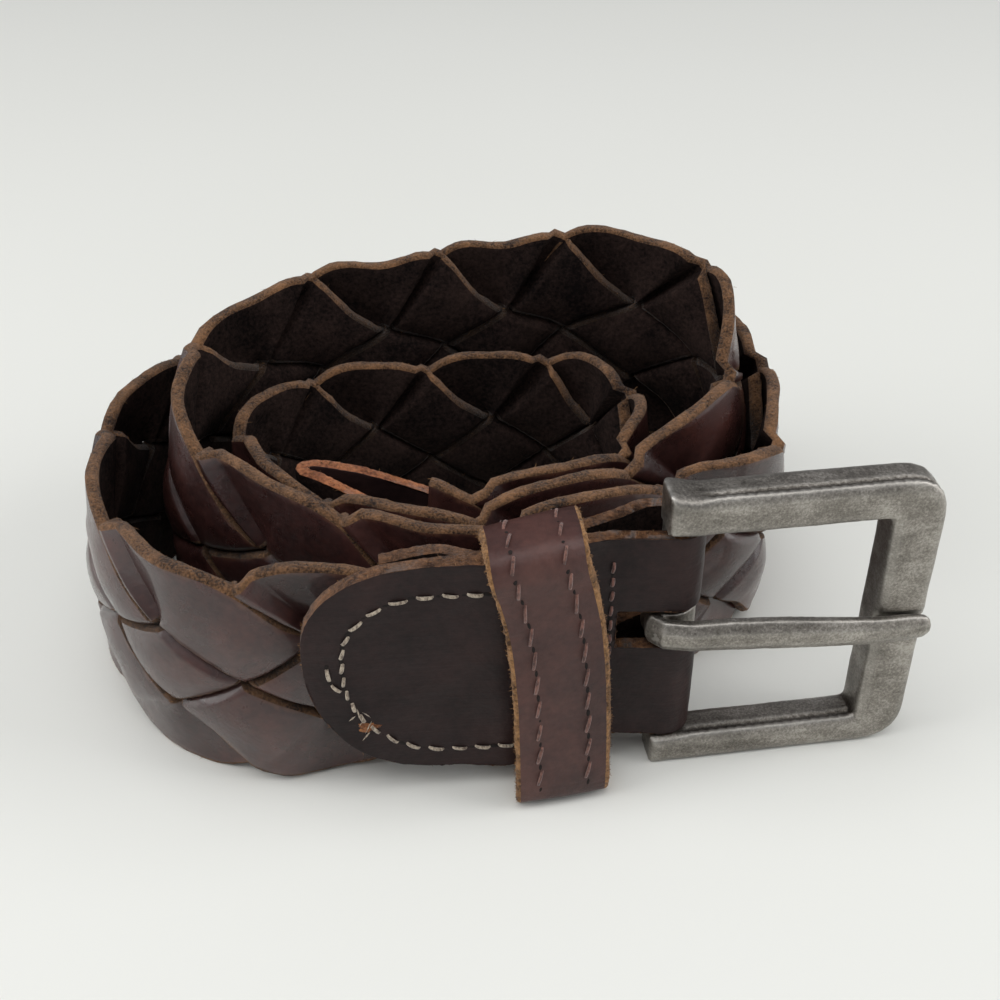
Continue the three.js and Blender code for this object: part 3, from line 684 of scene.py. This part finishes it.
def keeper_loop(materials):
    w, d, sides = strip_profile(0.045)
    at = np.linspace(0, len(KEEPER), 260, endpoint=False)
    round_, across = np.meshgrid(at, w, indexing="ij")
    points = keeper_points(round_, across, d[None, :] * KEEPER_THICK / 2)
    faces = tube_faces(len(at), len(w), closed=True)
    piece = make_piece("keeper", points, faces, materials, sides * len(at), strip_uv(at * 8 * MM, w))
    face_out(piece)
    displace(piece, [(6, 0.14, 25), (1.8, 0.04, 26)])
    roughen_edge(piece, 0.6, 0.2, 27)
    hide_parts("keeper_loop")
    return piece


# Threads and needle holes.
def add_thread(points, faces, start, end, out, radius, bow):
    """One stitch from hole to hole, which dips into the leather at both ends."""
    sides, steps, sunk = 7, 7, 0.45
    way = (end - start) / np.linalg.norm(end - start)
    side = np.cross(way, out)
    side /= np.linalg.norm(side)
    base = len(points)
    for i in range(steps):
        t = i / (steps - 1)
        rise = bow * math.sin(math.pi * t) ** 0.6 - sunk * (abs(2 * t - 1) ** 6)
        centre = start + (end - start) * t + out * rise
        size = radius * (0.72 + 0.28 * math.sin(math.pi * min(max(t, 0.08), 0.92)))
        for k in range(sides):
            a = 2 * math.pi * k / sides
            points.append(centre + side * math.cos(a) * size + out * math.sin(a) * size * 0.8)
    faces += [tuple(base + v for v in f) for f in tube_faces(steps, sides)]


def add_hole(points, faces, centre, way, out, length, width):
    """Painted shade of a needle hole: a dark flat lens that barely stands out of the leather."""
    sides = 10
    way = way / np.linalg.norm(way)
    side = np.cross(way, out)
    side /= np.linalg.norm(side)
    base = len(points)
    points.append(centre + out * 0.07)
    for k in range(sides):
        a = 2 * math.pi * k / sides
        points.append(centre + way * math.cos(a) * length + side * math.sin(a) * width)
    points.append(centre - out * 0.3)
    for k in range(sides):
        n = (k + 1) % sides
        faces.append((base, base + 1 + k, base + 1 + n))
        faces.append((base + 1 + sides, base + 1 + n, base + 1 + k))


def stitch_row(name, spots, thread, dark, radius, share=0.78, slant=0.0, seed=1):
    """Stitches between neighbouring spots, each a point and the way out, with dark hole marks of painted shade at
    them.
    """
    rng = random.Random(seed)
    threads, thread_faces, holes, hole_faces = [], [], [], []
    for (a, out_a), (b, out_b) in zip(spots[:-1], spots[1:]):
        out = (out_a + out_b) / np.linalg.norm(out_a + out_b)
        bend = math.acos(min(1.0, float(np.dot(out_a, out_b))))
        way = b - a
        length = np.linalg.norm(way)
        side = np.cross(way / length, out)
        lean = side * (slant + rng.gauss(0, 0.06))
        start = a + way * (1 - share) / 2 - lean
        end = b - way * (1 - share) / 2 + lean
        bow = 0.3 + length * math.tan(bend / 4) / 2
        add_thread(threads, thread_faces, start, end, out, radius * rng.uniform(0.9, 1.1), bow)
        add_hole(holes, hole_faces, a, way + side * 0.5, out, (1 - share) * length * 0.9, radius * 1.15)
    make_piece(name, threads, thread_faces, [thread])
    make_piece(name + "_holes", holes, hole_faces, [dark], smooth=False)


def spread(spots, gap):
    """Spots a stitch apart out of a line of close ones."""
    points = np.array([point for point, _ in spots])
    at = np.concatenate([[0], np.cumsum(np.linalg.norm(np.diff(points, axis=0), axis=1))])
    count = max(2, int(round(at[-1] / gap)) + 1)
    return [spots[int(np.argmin(np.abs(at - t)))] for t in np.linspace(0, at[-1], count)]


def wall_place(line, places, s, z, out):
    """Point on the outer face of a wall at a distance along it and a height."""
    slopes = smooth_slopes(places, line)
    row = hermite(places, line, slopes, np.array([s, s + 0.2, s - 0.2]))
    dx, dy = row[1, :2] - row[2, :2]
    length = math.hypot(dx, dy)
    normal = np.array([dy / length, -dx / length, 0])
    point = np.array([row[0, 0] - ORIGIN[0], row[0, 1] - ORIGIN[1], z])
    return point + normal * out, normal


def tab_path():
    """Distance from the end and height from the middle of the tab's stitch line, bottom to top."""
    low, high = TAB_LOW_ROW - STRAP_WIDTH / 2, STRAP_WIDTH / 2 - TAB_INSET
    path = [(s, low) for s in np.arange(TAB_ROW_END, TAB_INSET + TAB_LOW_BEND, -0.5)]
    for side in np.linspace(-1, 1, 241):
        half, bend = (-low, TAB_LOW_BEND) if side < 0 else (high, TAB_HIGH_BEND)
        start = outline_start(np.array([side * half]), 2 * half, bend)[0]
        path.append((TAB_INSET + start, side * half))
    return path + [(s, high) for s in np.arange(TAB_INSET + TAB_HIGH_BEND, TAB_ROW_END, 0.5)]


def tab_spot(line, places, s, height):
    """Point on the tab's face and the way out of it."""
    middle = STRAP_BOTTOM + STRAP_WIDTH / 2
    lift = TAB_RISE * (1 - min(s / TAB_RADIUS, 1)) ** 2
    return wall_place(line, places, s, middle + height + lift, STRAP_THICK / 2 + THREAD_OFF)


def strap_stitches(line, places, thread, dark, brown):
    """The tab's row with its back tack, and the row that closes the fold beside the buckle."""
    flat = tab_path()
    spots = [tab_spot(line, places, s, height) for s, height in flat]
    chosen, walked = [spots[0]], 0.0
    for (_, height), before, spot in zip(flat[1:], spots[:-1], spots[1:]):
        walked += float(np.linalg.norm(spot[0] - before[0]))
        if walked >= (2.6 if abs(height) < 9 else 3.4):
            chosen.append(spot)
            walked = 0.0
    stitch_row("tab_thread", chosen, thread, dark, THREAD_RADIUS, slant=0.2, share=0.8, seed=31)
    tack = [tab_spot(line, places, s, height) for s, height in ((3.4, 0.2), (3.6, -3.0), (5.4, -4.6))]
    stitch_row("tab_back_tack", tack, thread, dark, THREAD_RADIUS, share=0.85, seed=33)
    fold_x = BAR[0] - KEEPER_ALONG + KEEPER_WIDTH / 2 - 1.2
    s = next(at for at, row in zip(places, line) if row[0] > fold_x and at > 25)
    fold = [wall_place(line, places, s, z, STRAP_THICK / 2 + THREAD_OFF)
            for z in np.arange(STRAP_BOTTOM + 5, STRAP_BOTTOM + STRAP_WIDTH - 3.5, 0.4)]
    stitch_row("fold_thread", spread(fold, 2.7), brown, dark, THREAD_RADIUS, slant=0.1, seed=32)


def torn_spot(line, places, leather, thread):
    """Place on the tab where the grain is torn off, with loose thread ends beside it."""
    rng = random.Random(61)
    rings, sides = 5, 22
    points = []
    centre, out = tab_spot(line, places, 8.6, -11.2)
    along, _ = tab_spot(line, places, 9.6, -11.2)
    along = (along - centre) / np.linalg.norm(along - centre)
    up = np.cross(out, along)
    for ring in range(rings):
        share = ring / (rings - 1)
        size = math.cos(share * math.pi / 2) if share < 1 else 0.02
        for k in range(sides):
            a = 2 * math.pi * k / sides
            ragged = 1 + 0.22 * math.sin(3 * a + 1) + 0.14 * math.sin(7 * a)
            reach = size * ragged * (1 + rng.uniform(-0.05, 0.05))
            rise = 0.34 * share + rng.uniform(-0.05, 0.05) - 0.06
            flat = along * math.cos(a) * 1.9 + up * math.sin(a) * 1.25
            points.append(centre + flat * reach + out * rise)
    face_out(make_piece("torn_spot", points, tube_faces(rings, sides), [leather]))
    ends, end_faces = [], []
    for s, height in ((7.2, -7.6), (7.9, -8.2), (8.3, -9.4), (9.2, -9.9), (6.9, -9.0), (8.9, -12.1)):
        root, out = tab_spot(line, places, s, height)
        way = out * 0.45 + np.array([rng.uniform(-1, 1), 0, rng.uniform(-1, 1)])
        fibre(ends, end_faces, root, way, rng.uniform(1.1, 2.2), rng.uniform(0.10, 0.16), out * 0.15)
    make_piece("loose_ends", ends, end_faces, [thread], smooth=False)


def tip_stitches(line, places, thread, dark):
    """Row of stitches under the upper edge of the tip's near leaf."""
    spots = []
    for at, (x, y, drop, _) in zip(places, line):
        if -30 < x < -10 and y < 36.4:
            z = TIP_BOTTOM + TIP_WIDTH - drop - 4.4
            point, normal = wall_place(line, places, at, z, -TIP_THICK / 2 - THREAD_OFF)
            spots.append((point, -normal))
    stitch_row("tip_thread", spread(spots, 3.1), thread, dark, THREAD_RADIUS, slant=0.1, seed=34)


def keeper_stitches(thread, dark):
    at = np.linspace(0.05, 9.4, 400)
    for number, w in enumerate((0.25, 0.76)):
        points, inner = (keeper_points(at, np.full(len(at), w), np.full(len(at), depth))
                         for depth in (KEEPER_THICK / 2, KEEPER_THICK / 2 - 1))
        ways = (points - inner) / np.linalg.norm(points - inner, axis=1, keepdims=True)
        stitch_row(f"keeper_thread_{number + 1}", spread(list(zip(points, ways)), 4.5), thread, dark,
                   KEEPER_THREAD, slant=0.45, share=0.84, seed=41 + number)


# Cast metal: the CAD solid with worn, rounded edges.
def cast_piece(name, node, body, material, voxel, rounds, parts, shape=None):
    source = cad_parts[node]
    piece = bpy.data.objects.new(name, source.data.copy())
    bpy.context.scene.collection.objects.link(piece)
    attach(piece, body)
    bm = bmesh.new()
    bm.from_mesh(piece.data)
    bmesh.ops.remove_doubles(bm, verts=bm.verts, dist=1e-6)
    bm.to_mesh(piece.data)
    bm.free()
    remesh = piece.modifiers.new("even mesh", "REMESH")
    remesh.mode = "VOXEL"
    remesh.voxel_size = voxel * MM
    smooth = piece.modifiers.new("worn", "SMOOTH")
    smooth.factor = 0.5
    smooth.iterations = rounds
    bake(piece)
    piece.data.materials.clear()
    piece.data.materials.append(material)
    if shape:
        shape(piece)
    displace(piece, parts)
    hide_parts(node)
    return piece


def frame_bead(piece):
    """Rolled bead with a groove behind it along the front edge, and fuller lugs at the bar."""
    mesh = piece.data
    count = len(mesh.vertices)
    points, normals = np.zeros(count * 3, np.float32), np.zeros(count * 3, np.float32)
    mesh.vertices.foreach_get("co", points)
    mesh.vertices.foreach_get("normal", normals)
    points = points.reshape(-1, 3).astype(float) / MM
    normals = normals.reshape(-1, 3)
    bins = np.floor(points[:, 0] / 1.5).astype(int)
    front = {b: points[bins == b, 1].min() for b in np.unique(bins)}
    behind = points[:, 1] - np.array([front[b] for b in bins])
    upward = np.clip((normals[:, 2] - 0.35) / 0.4, 0, 1)
    bead = np.clip(1 - ((behind - 0.7) / 0.7) ** 2, 0, 1)
    groove = np.clip(1 - ((behind - 2.0) / 0.6) ** 2, 0, 1)
    away = smoothstep((points[:, 0] - points[:, 0].min() - 4) / 4)
    points[:, 2] += upward * away * (0.28 * bead - 0.26 * groove)
    lug = 1 - smoothstep((points[:, 0] - points[:, 0].min()) / 5)
    middle = (points[:, 2].max() + points[:, 2].min()) / 2
    outer = smoothstep((np.abs(points[:, 2] - middle) - 17) / 4) * np.sign(points[:, 2] - middle)
    points[:, 2] = np.maximum(points[:, 2] + np.where(outer > 0, 0.9, 0.25) * lug * outer, 0.03)
    mesh.vertices.foreach_set("co", (points * MM).astype(np.float32).ravel())
    mesh.update()


# Materials.
class Look:
    """Small builder of a material's nodes."""

    def __init__(self, name, **sockets):
        self.material = bpy.data.materials.new(name)
        self.material.use_nodes = True
        self.tree = self.material.node_tree
        self.shader = self.tree.nodes["Principled BSDF"]
        for key, value in sockets.items():
            self.shader.inputs[key.replace("_", " ")].default_value = value
        self.place = self.node("ShaderNodeTexCoord").outputs["Object"]
        self.strip = self.node("ShaderNodeUVMap")
        self.strip.uv_map = "strip"

    def node(self, kind, **values):
        made = self.tree.nodes.new(kind)
        for key, value in values.items():
            setattr(made, key, value)
        return made

    def link(self, a, b):
        self.tree.links.new(a, b)

    def noise(self, scale, detail=4.0, rough=0.55, stretch=None, uv=False):
        source = self.strip.outputs["UV"] if uv else self.place
        if stretch:
            mapping = self.node("ShaderNodeMapping")
            mapping.inputs["Scale"].default_value = stretch
            self.link(source, mapping.inputs["Vector"])
            source = mapping.outputs["Vector"]
        made = self.node("ShaderNodeTexNoise")
        made.inputs["Scale"].default_value = scale
        made.inputs["Detail"].default_value = detail
        made.inputs["Roughness"].default_value = rough
        self.link(source, made.inputs["Vector"])
        return made.outputs["Fac"]

    def cells(self, scale, feature="F1"):
        made = self.node("ShaderNodeTexVoronoi", feature=feature)
        made.inputs["Scale"].default_value = scale
        self.link(self.place, made.inputs["Vector"])
        return made.outputs["Distance"]

    def ramp(self, value, *stops):
        made = self.node("ShaderNodeValToRGB")
        elements = made.color_ramp.elements
        while len(elements) < len(stops):
            elements.new(0.5)
        for element, (at, colour) in zip(elements, stops):
            element.position = at
            element.color = (*colour, 1)
        self.link(value, made.inputs["Fac"])
        return made.outputs["Color"]

    def span(self, value, low, high, out_low, out_high):
        made = self.node("ShaderNodeMapRange")
        for key, number in zip(("From Min", "From Max", "To Min", "To Max"), (low, high, out_low, out_high)):
            made.inputs[key].default_value = number
        self.link(value, made.inputs["Value"])
        return made.outputs["Result"]

    def mix(self, factor, a, b, blend="MIX"):
        made = self.node("ShaderNodeMix", data_type="RGBA", blend_type=blend)
        for socket, value in ((made.inputs["Factor"], factor), (made.inputs[6], a), (made.inputs[7], b)):
            if isinstance(value, (int, float)):
                socket.default_value = value
            elif isinstance(value, tuple):
                socket.default_value = (*value, 1)
            else:
                self.link(value, socket)
        return made.outputs[2]

    def math(self, kind, a, b=0.0):
        made = self.node("ShaderNodeMath", operation=kind)
        for socket, value in ((made.inputs[0], a), (made.inputs[1], b)):
            if isinstance(value, (int, float)):
                socket.default_value = value
            else:
                self.link(value, socket)
        return made.outputs["Value"]

    def bump(self, height, distance, strength=1.0, under=None):
        made = self.node("ShaderNodeBump")
        made.inputs["Strength"].default_value = strength
        made.inputs["Distance"].default_value = distance
        self.link(height, made.inputs["Height"])
        if under is not None:
            self.link(under, made.inputs["Normal"])
        return made.outputs["Normal"]

    def finish(self, colour=None, roughness=None, normal=None, metallic=None):
        for key, value in (("Base Color", colour), ("Roughness", roughness), ("Normal", normal),
                           ("Metallic", metallic)):
            if value is not None:
                self.link(value, self.shader.inputs[key])
        return self.material


def grain_leather(name, dark, mid, light, gloss, pores=0.5, wear=None, shine=0.5):
    """Smooth side of leather: patchy dye, pores, fine wrinkles and scratches."""
    look = Look(name)
    look.shader.inputs["IOR"].default_value = 1.5
    look.shader.inputs["Specular IOR Level"].default_value = shine
    patches = look.noise(70, 5, 0.6)
    colour = look.ramp(patches, (0.33, dark), (0.5, mid), (0.68, light))
    fine = look.noise(900, 3, 0.6)
    colour = look.mix(0.25, colour, look.ramp(fine, (0.35, dark), (0.65, light)))
    if wear:
        across = look.node("ShaderNodeSeparateXYZ")
        look.link(look.strip.outputs["UV"], across.inputs[0])
        edge = look.math("ABSOLUTE", look.math("SUBTRACT", across.outputs["Y"], 0.5))
        ragged = look.math("ADD", edge, look.span(look.noise(260, 4), 0.3, 0.7, -0.05, 0.05))
        colour = look.mix(look.span(ragged, 0.42, 0.5, 0, 0.75), colour, wear)
    streaks = look.noise(60, 5, 0.65, (1, 14, 1), uv=True)
    roughness = look.span(look.noise(160, 4, 0.6), 0.3, 0.7, gloss[0], gloss[1])
    pore = look.cells(1500)
    wrinkle = look.noise(420, 6, 0.62)
    normal = look.bump(pore, 0.00006, pores)
    normal = look.bump(wrinkle, 0.00022, 0.55, normal)
    normal = look.bump(streaks, 0.0003, 0.3, normal)
    return look.finish(colour, roughness, normal)


def cut_leather(name, dark, light, fuzz=1.0, sheen=0.15, coarse=1.0, shaded=False, fine=1500):
    """Flesh side or cut edge: rough fibres, no gloss. When shaded is set, painted shade from the 'rim' layer
    darkens the colour.
    """
    look = Look(name, Roughness=0.92)
    look.shader.inputs["Specular IOR Level"].default_value = 0.12
    look.shader.inputs["Sheen Weight"].default_value = sheen
    fibres = look.noise(fine, 6, 0.7)
    patches = look.noise(240 * coarse, 5, 0.65)
    both = look.math("ADD", look.math("MULTIPLY", fibres, 0.55), look.math("MULTIPLY", patches, 0.45))
    colour = look.ramp(both, (0.40, dark), (0.60, light))
    # Painted shade: where the 'rim' layer is low, the colour goes towards a third of the dark colour.
    if shaded:
        layer = look.node("ShaderNodeUVMap", uv_map="rim")
        split = look.node("ShaderNodeSeparateXYZ")
        look.link(layer.outputs["UV"], split.inputs[0])
        colour = look.mix(split.outputs["X"], tuple(0.3 * c for c in dark), colour)
    normal = look.bump(fibres, 0.0004 * fuzz, 0.9)
    normal = look.bump(patches, 0.0005 * fuzz, 0.5, normal)
    return look.finish(colour, None, normal)


def thread_look(name, dark, light):
    look = Look(name, Roughness=0.75)
    look.shader.inputs["Sheen Weight"].default_value = 0.3
    strands = look.noise(2600, 3, 0.6, (1, 1, 0.35))
    colour = look.ramp(strands, (0.35, dark), (0.6, light))
    return look.finish(colour, None, look.bump(strands, 0.0002, 0.9))


def pewter_look(name):
    """Antiqued casting: bright where it rubs, dark patina in the hollows, tumbled speckle."""
    look = Look(name, Metallic=1.0)
    speckle = look.noise(2600, 6, 0.75)
    blotch = look.noise(110, 5, 0.6)
    brushed = look.noise(520, 4, 0.6, (0.25, 1, 1))
    both = look.math("ADD", look.math("MULTIPLY", speckle, 0.5), look.math("MULTIPLY", blotch, 0.3))
    both = look.math("ADD", both, look.math("MULTIPLY", brushed, 0.2))
    colour = look.ramp(both, (0.40, (0.070, 0.060, 0.050)), (0.5, (0.215, 0.195, 0.170)),
                       (0.60, (0.46, 0.43, 0.39)))
    geometry = look.node("ShaderNodeNewGeometry")
    worn = look.span(geometry.outputs["Pointiness"], 0.49, 0.56, 0, 1)
    colour = look.mix(look.math("MULTIPLY", worn, 0.75), colour, (0.60, 0.58, 0.54))
    hollow = look.span(geometry.outputs["Pointiness"], 0.5, 0.44, 0, 0.8)
    colour = look.mix(hollow, colour, (0.06, 0.055, 0.05))
    roughness = look.span(speckle, 0.3, 0.7, 0.32, 0.55)
    normal = look.bump(speckle, 0.00012, 0.6)
    normal = look.bump(look.noise(420, 5, 0.6), 0.0003, 0.35, normal)
    return look.finish(colour, roughness, normal)


# Painted shade: a near-black material for the needle holes, standing in for the shadow inside them.
def hole_shade_look(name):
    look = Look(name, Roughness=0.95)
    return look.finish(look.ramp(look.noise(900, 3), (0.3, (0.004, 0.002, 0.002)), (0.7, (0.015, 0.009, 0.007))))


braid_grain = grain_leather("braid_grain", (0.016, 0.0065, 0.0062), (0.038, 0.0145, 0.0130),
                            (0.085, 0.030, 0.024), (0.22, 0.38), pores=0.25, wear=(0.13, 0.055, 0.03))
braid_shader = braid_grain.node_tree.nodes["Principled BSDF"]
braid_shader.inputs["Coat Weight"].default_value = 0.45
braid_shader.inputs["Coat Roughness"].default_value = 0.13
# The flesh colour is very dark partly as the leather's own brown flesh side and partly as painted shade for the
# dim inside of the coil; the strap, tip and keeper share it.
flesh_with_painted_shade = cut_leather("flesh_with_painted_shade", (0.004, 0.0022, 0.002), (0.034, 0.020, 0.0165), 1.4, 0.0, 0.5)
# Golden cut edges of the braid, with painted shade from the 'rim' layer inside the braid.
raw_edge = cut_leather("raw_edge", (0.020, 0.009, 0.005), (0.30, 0.150, 0.068), 1.8, shaded=True, fine=2600)
strap_grain = grain_leather("strap_grain", (0.010, 0.0054, 0.0056), (0.020, 0.0105, 0.0105),
                            (0.038, 0.0180, 0.0165), (0.40, 0.54), pores=0.3, shine=0.2)
strap_edge = cut_leather("strap_edge", (0.03, 0.013, 0.007), (0.20, 0.095, 0.045), 0.9)
tip_edge = cut_leather("tip_edge", (0.10, 0.03, 0.014), (0.44, 0.17, 0.075), 0.8)
keeper_grain = grain_leather("keeper_grain", (0.030, 0.012, 0.0105), (0.058, 0.0235, 0.0200),
                             (0.10, 0.040, 0.032), (0.34, 0.50), pores=0.3, shine=0.38)
keeper_edge = cut_leather("keeper_edge", (0.06, 0.028, 0.012), (0.42, 0.22, 0.09), 1.2)
torn_leather = cut_leather("torn_leather", (0.10, 0.030, 0.012), (0.50, 0.21, 0.08), 1.5)
fibre_look = cut_leather("loose_fibre", (0.10, 0.050, 0.022), (0.42, 0.235, 0.11), 0.5)
cream_thread = thread_look("cream_thread", (0.14, 0.10, 0.075), (0.50, 0.42, 0.32))
brown_thread = thread_look("brown_thread", (0.045, 0.017, 0.013), (0.20, 0.088, 0.065))
needle_hole_shade = hole_shade_look("needle_hole_shade")
pewter = pewter_look("pewter")


# The pieces.
braid_materials = [braid_grain, flesh_with_painted_shade, raw_edge]
for number in range(STRAND_COUNT):
    surface = strand(number, braid_materials)
    edge_fibres(f"braid_{number + 1}_fibres", surface, 9, fibre_look, 100 + number)

strap, strap_row, strap_at = buckle_strap([strap_grain, flesh_with_painted_shade, strap_edge])
edge_surface_fibres("strap_fibres", strap, 1200, fibre_look, 7)
strap_stitches(strap_row, strap_at, cream_thread, needle_hole_shade, brown_thread)
torn_spot(strap_row, strap_at, torn_leather, cream_thread)
tip, tip_row, tip_at = tip_piece([strap_grain, flesh_with_painted_shade, tip_edge])
tip_stitches(tip_row, tip_at, cream_thread, needle_hole_shade)
edge_surface_fibres("tip_fibres", tip, 900, fibre_look, 8)
keeper = keeper_loop([keeper_grain, flesh_with_painted_shade, keeper_edge])
edge_surface_fibres("keeper_fibres", keeper, 1600, fibre_look, 9)
keeper_stitches(brown_thread, needle_hole_shade)
cast_piece("frame_casting", "buckle_frame", "frame", pewter, 0.30, 7,
           [(6, 0.10, 51), (1.6, 0.02, 52)], frame_bead)
cast_piece("tongue_casting", "buckle_tongue", "tongue", pewter, 0.22, 8,
           [(4, 0.06, 53), (1.2, 0.02, 54)])


# Floor, light and camera.
def add_floor():
    mesh = bpy.data.meshes.new("floor")
    size = 3.0
    mesh.from_pydata([(-size, -size, 0), (size, -size, 0), (size, size, 0), (-size, size, 0)], [], [(0, 1, 2, 3)])
    floor = bpy.data.objects.new("floor", mesh)
    bpy.context.scene.collection.objects.link(floor)
    look = Look("floor_paper", Roughness=0.9)
    look.shader.inputs["Specular IOR Level"].default_value = 0.2
    colour = look.ramp(look.noise(3, 2), (0.3, (0.795, 0.80, 0.755)), (0.7, (0.82, 0.825, 0.785)))
    mesh.materials.append(look.finish(colour))


def add_light(name, place, target, size, power, colour=(1, 1, 1)):
    data = bpy.data.lights.new(name, "AREA")
    data.shape = "RECTANGLE"
    data.size, data.size_y = size
    data.energy = power
    data.color = colour
    light = bpy.data.objects.new(name, data)
    light.location = place
    light.rotation_euler = (Vector(target) - Vector(place)).to_track_quat("-Z", "Y").to_euler()
    bpy.context.scene.collection.objects.link(light)


def add_camera():
    data = bpy.data.cameras.new("camera")
    data.sensor_width = 36
    data.lens = 1.4 * 36
    data.clip_start = 0.01
    camera = bpy.data.objects.new("camera", data)
    camera.location = (0.0017, -0.19447, 0.16384)
    camera.rotation_euler = (math.radians(54), 0, 0)
    bpy.context.scene.collection.objects.link(camera)
    bpy.context.scene.camera = camera


add_floor()
add_light("soft_top", (-0.10, -0.20, 0.95), (0, -0.05, 0.0), (0.8, 0.8), 4.8)
add_light("soft_left", (-0.75, -0.15, 0.40), (0, 0, 0.02), (0.5, 0.7), 3.2)
add_light("soft_right", (0.75, -0.05, 0.40), (0, 0, 0.02), (0.5, 0.7), 3.4)
add_camera()
world = bpy.data.worlds.new("pale_room")
world.use_nodes = True
world.node_tree.nodes["Background"].inputs["Color"].default_value = (0.95, 0.96, 1.0, 1)
world.node_tree.nodes["Background"].inputs["Strength"].default_value = 0.30
bpy.context.scene.world = world
bpy.context.scene.view_settings.view_transform = "Standard"
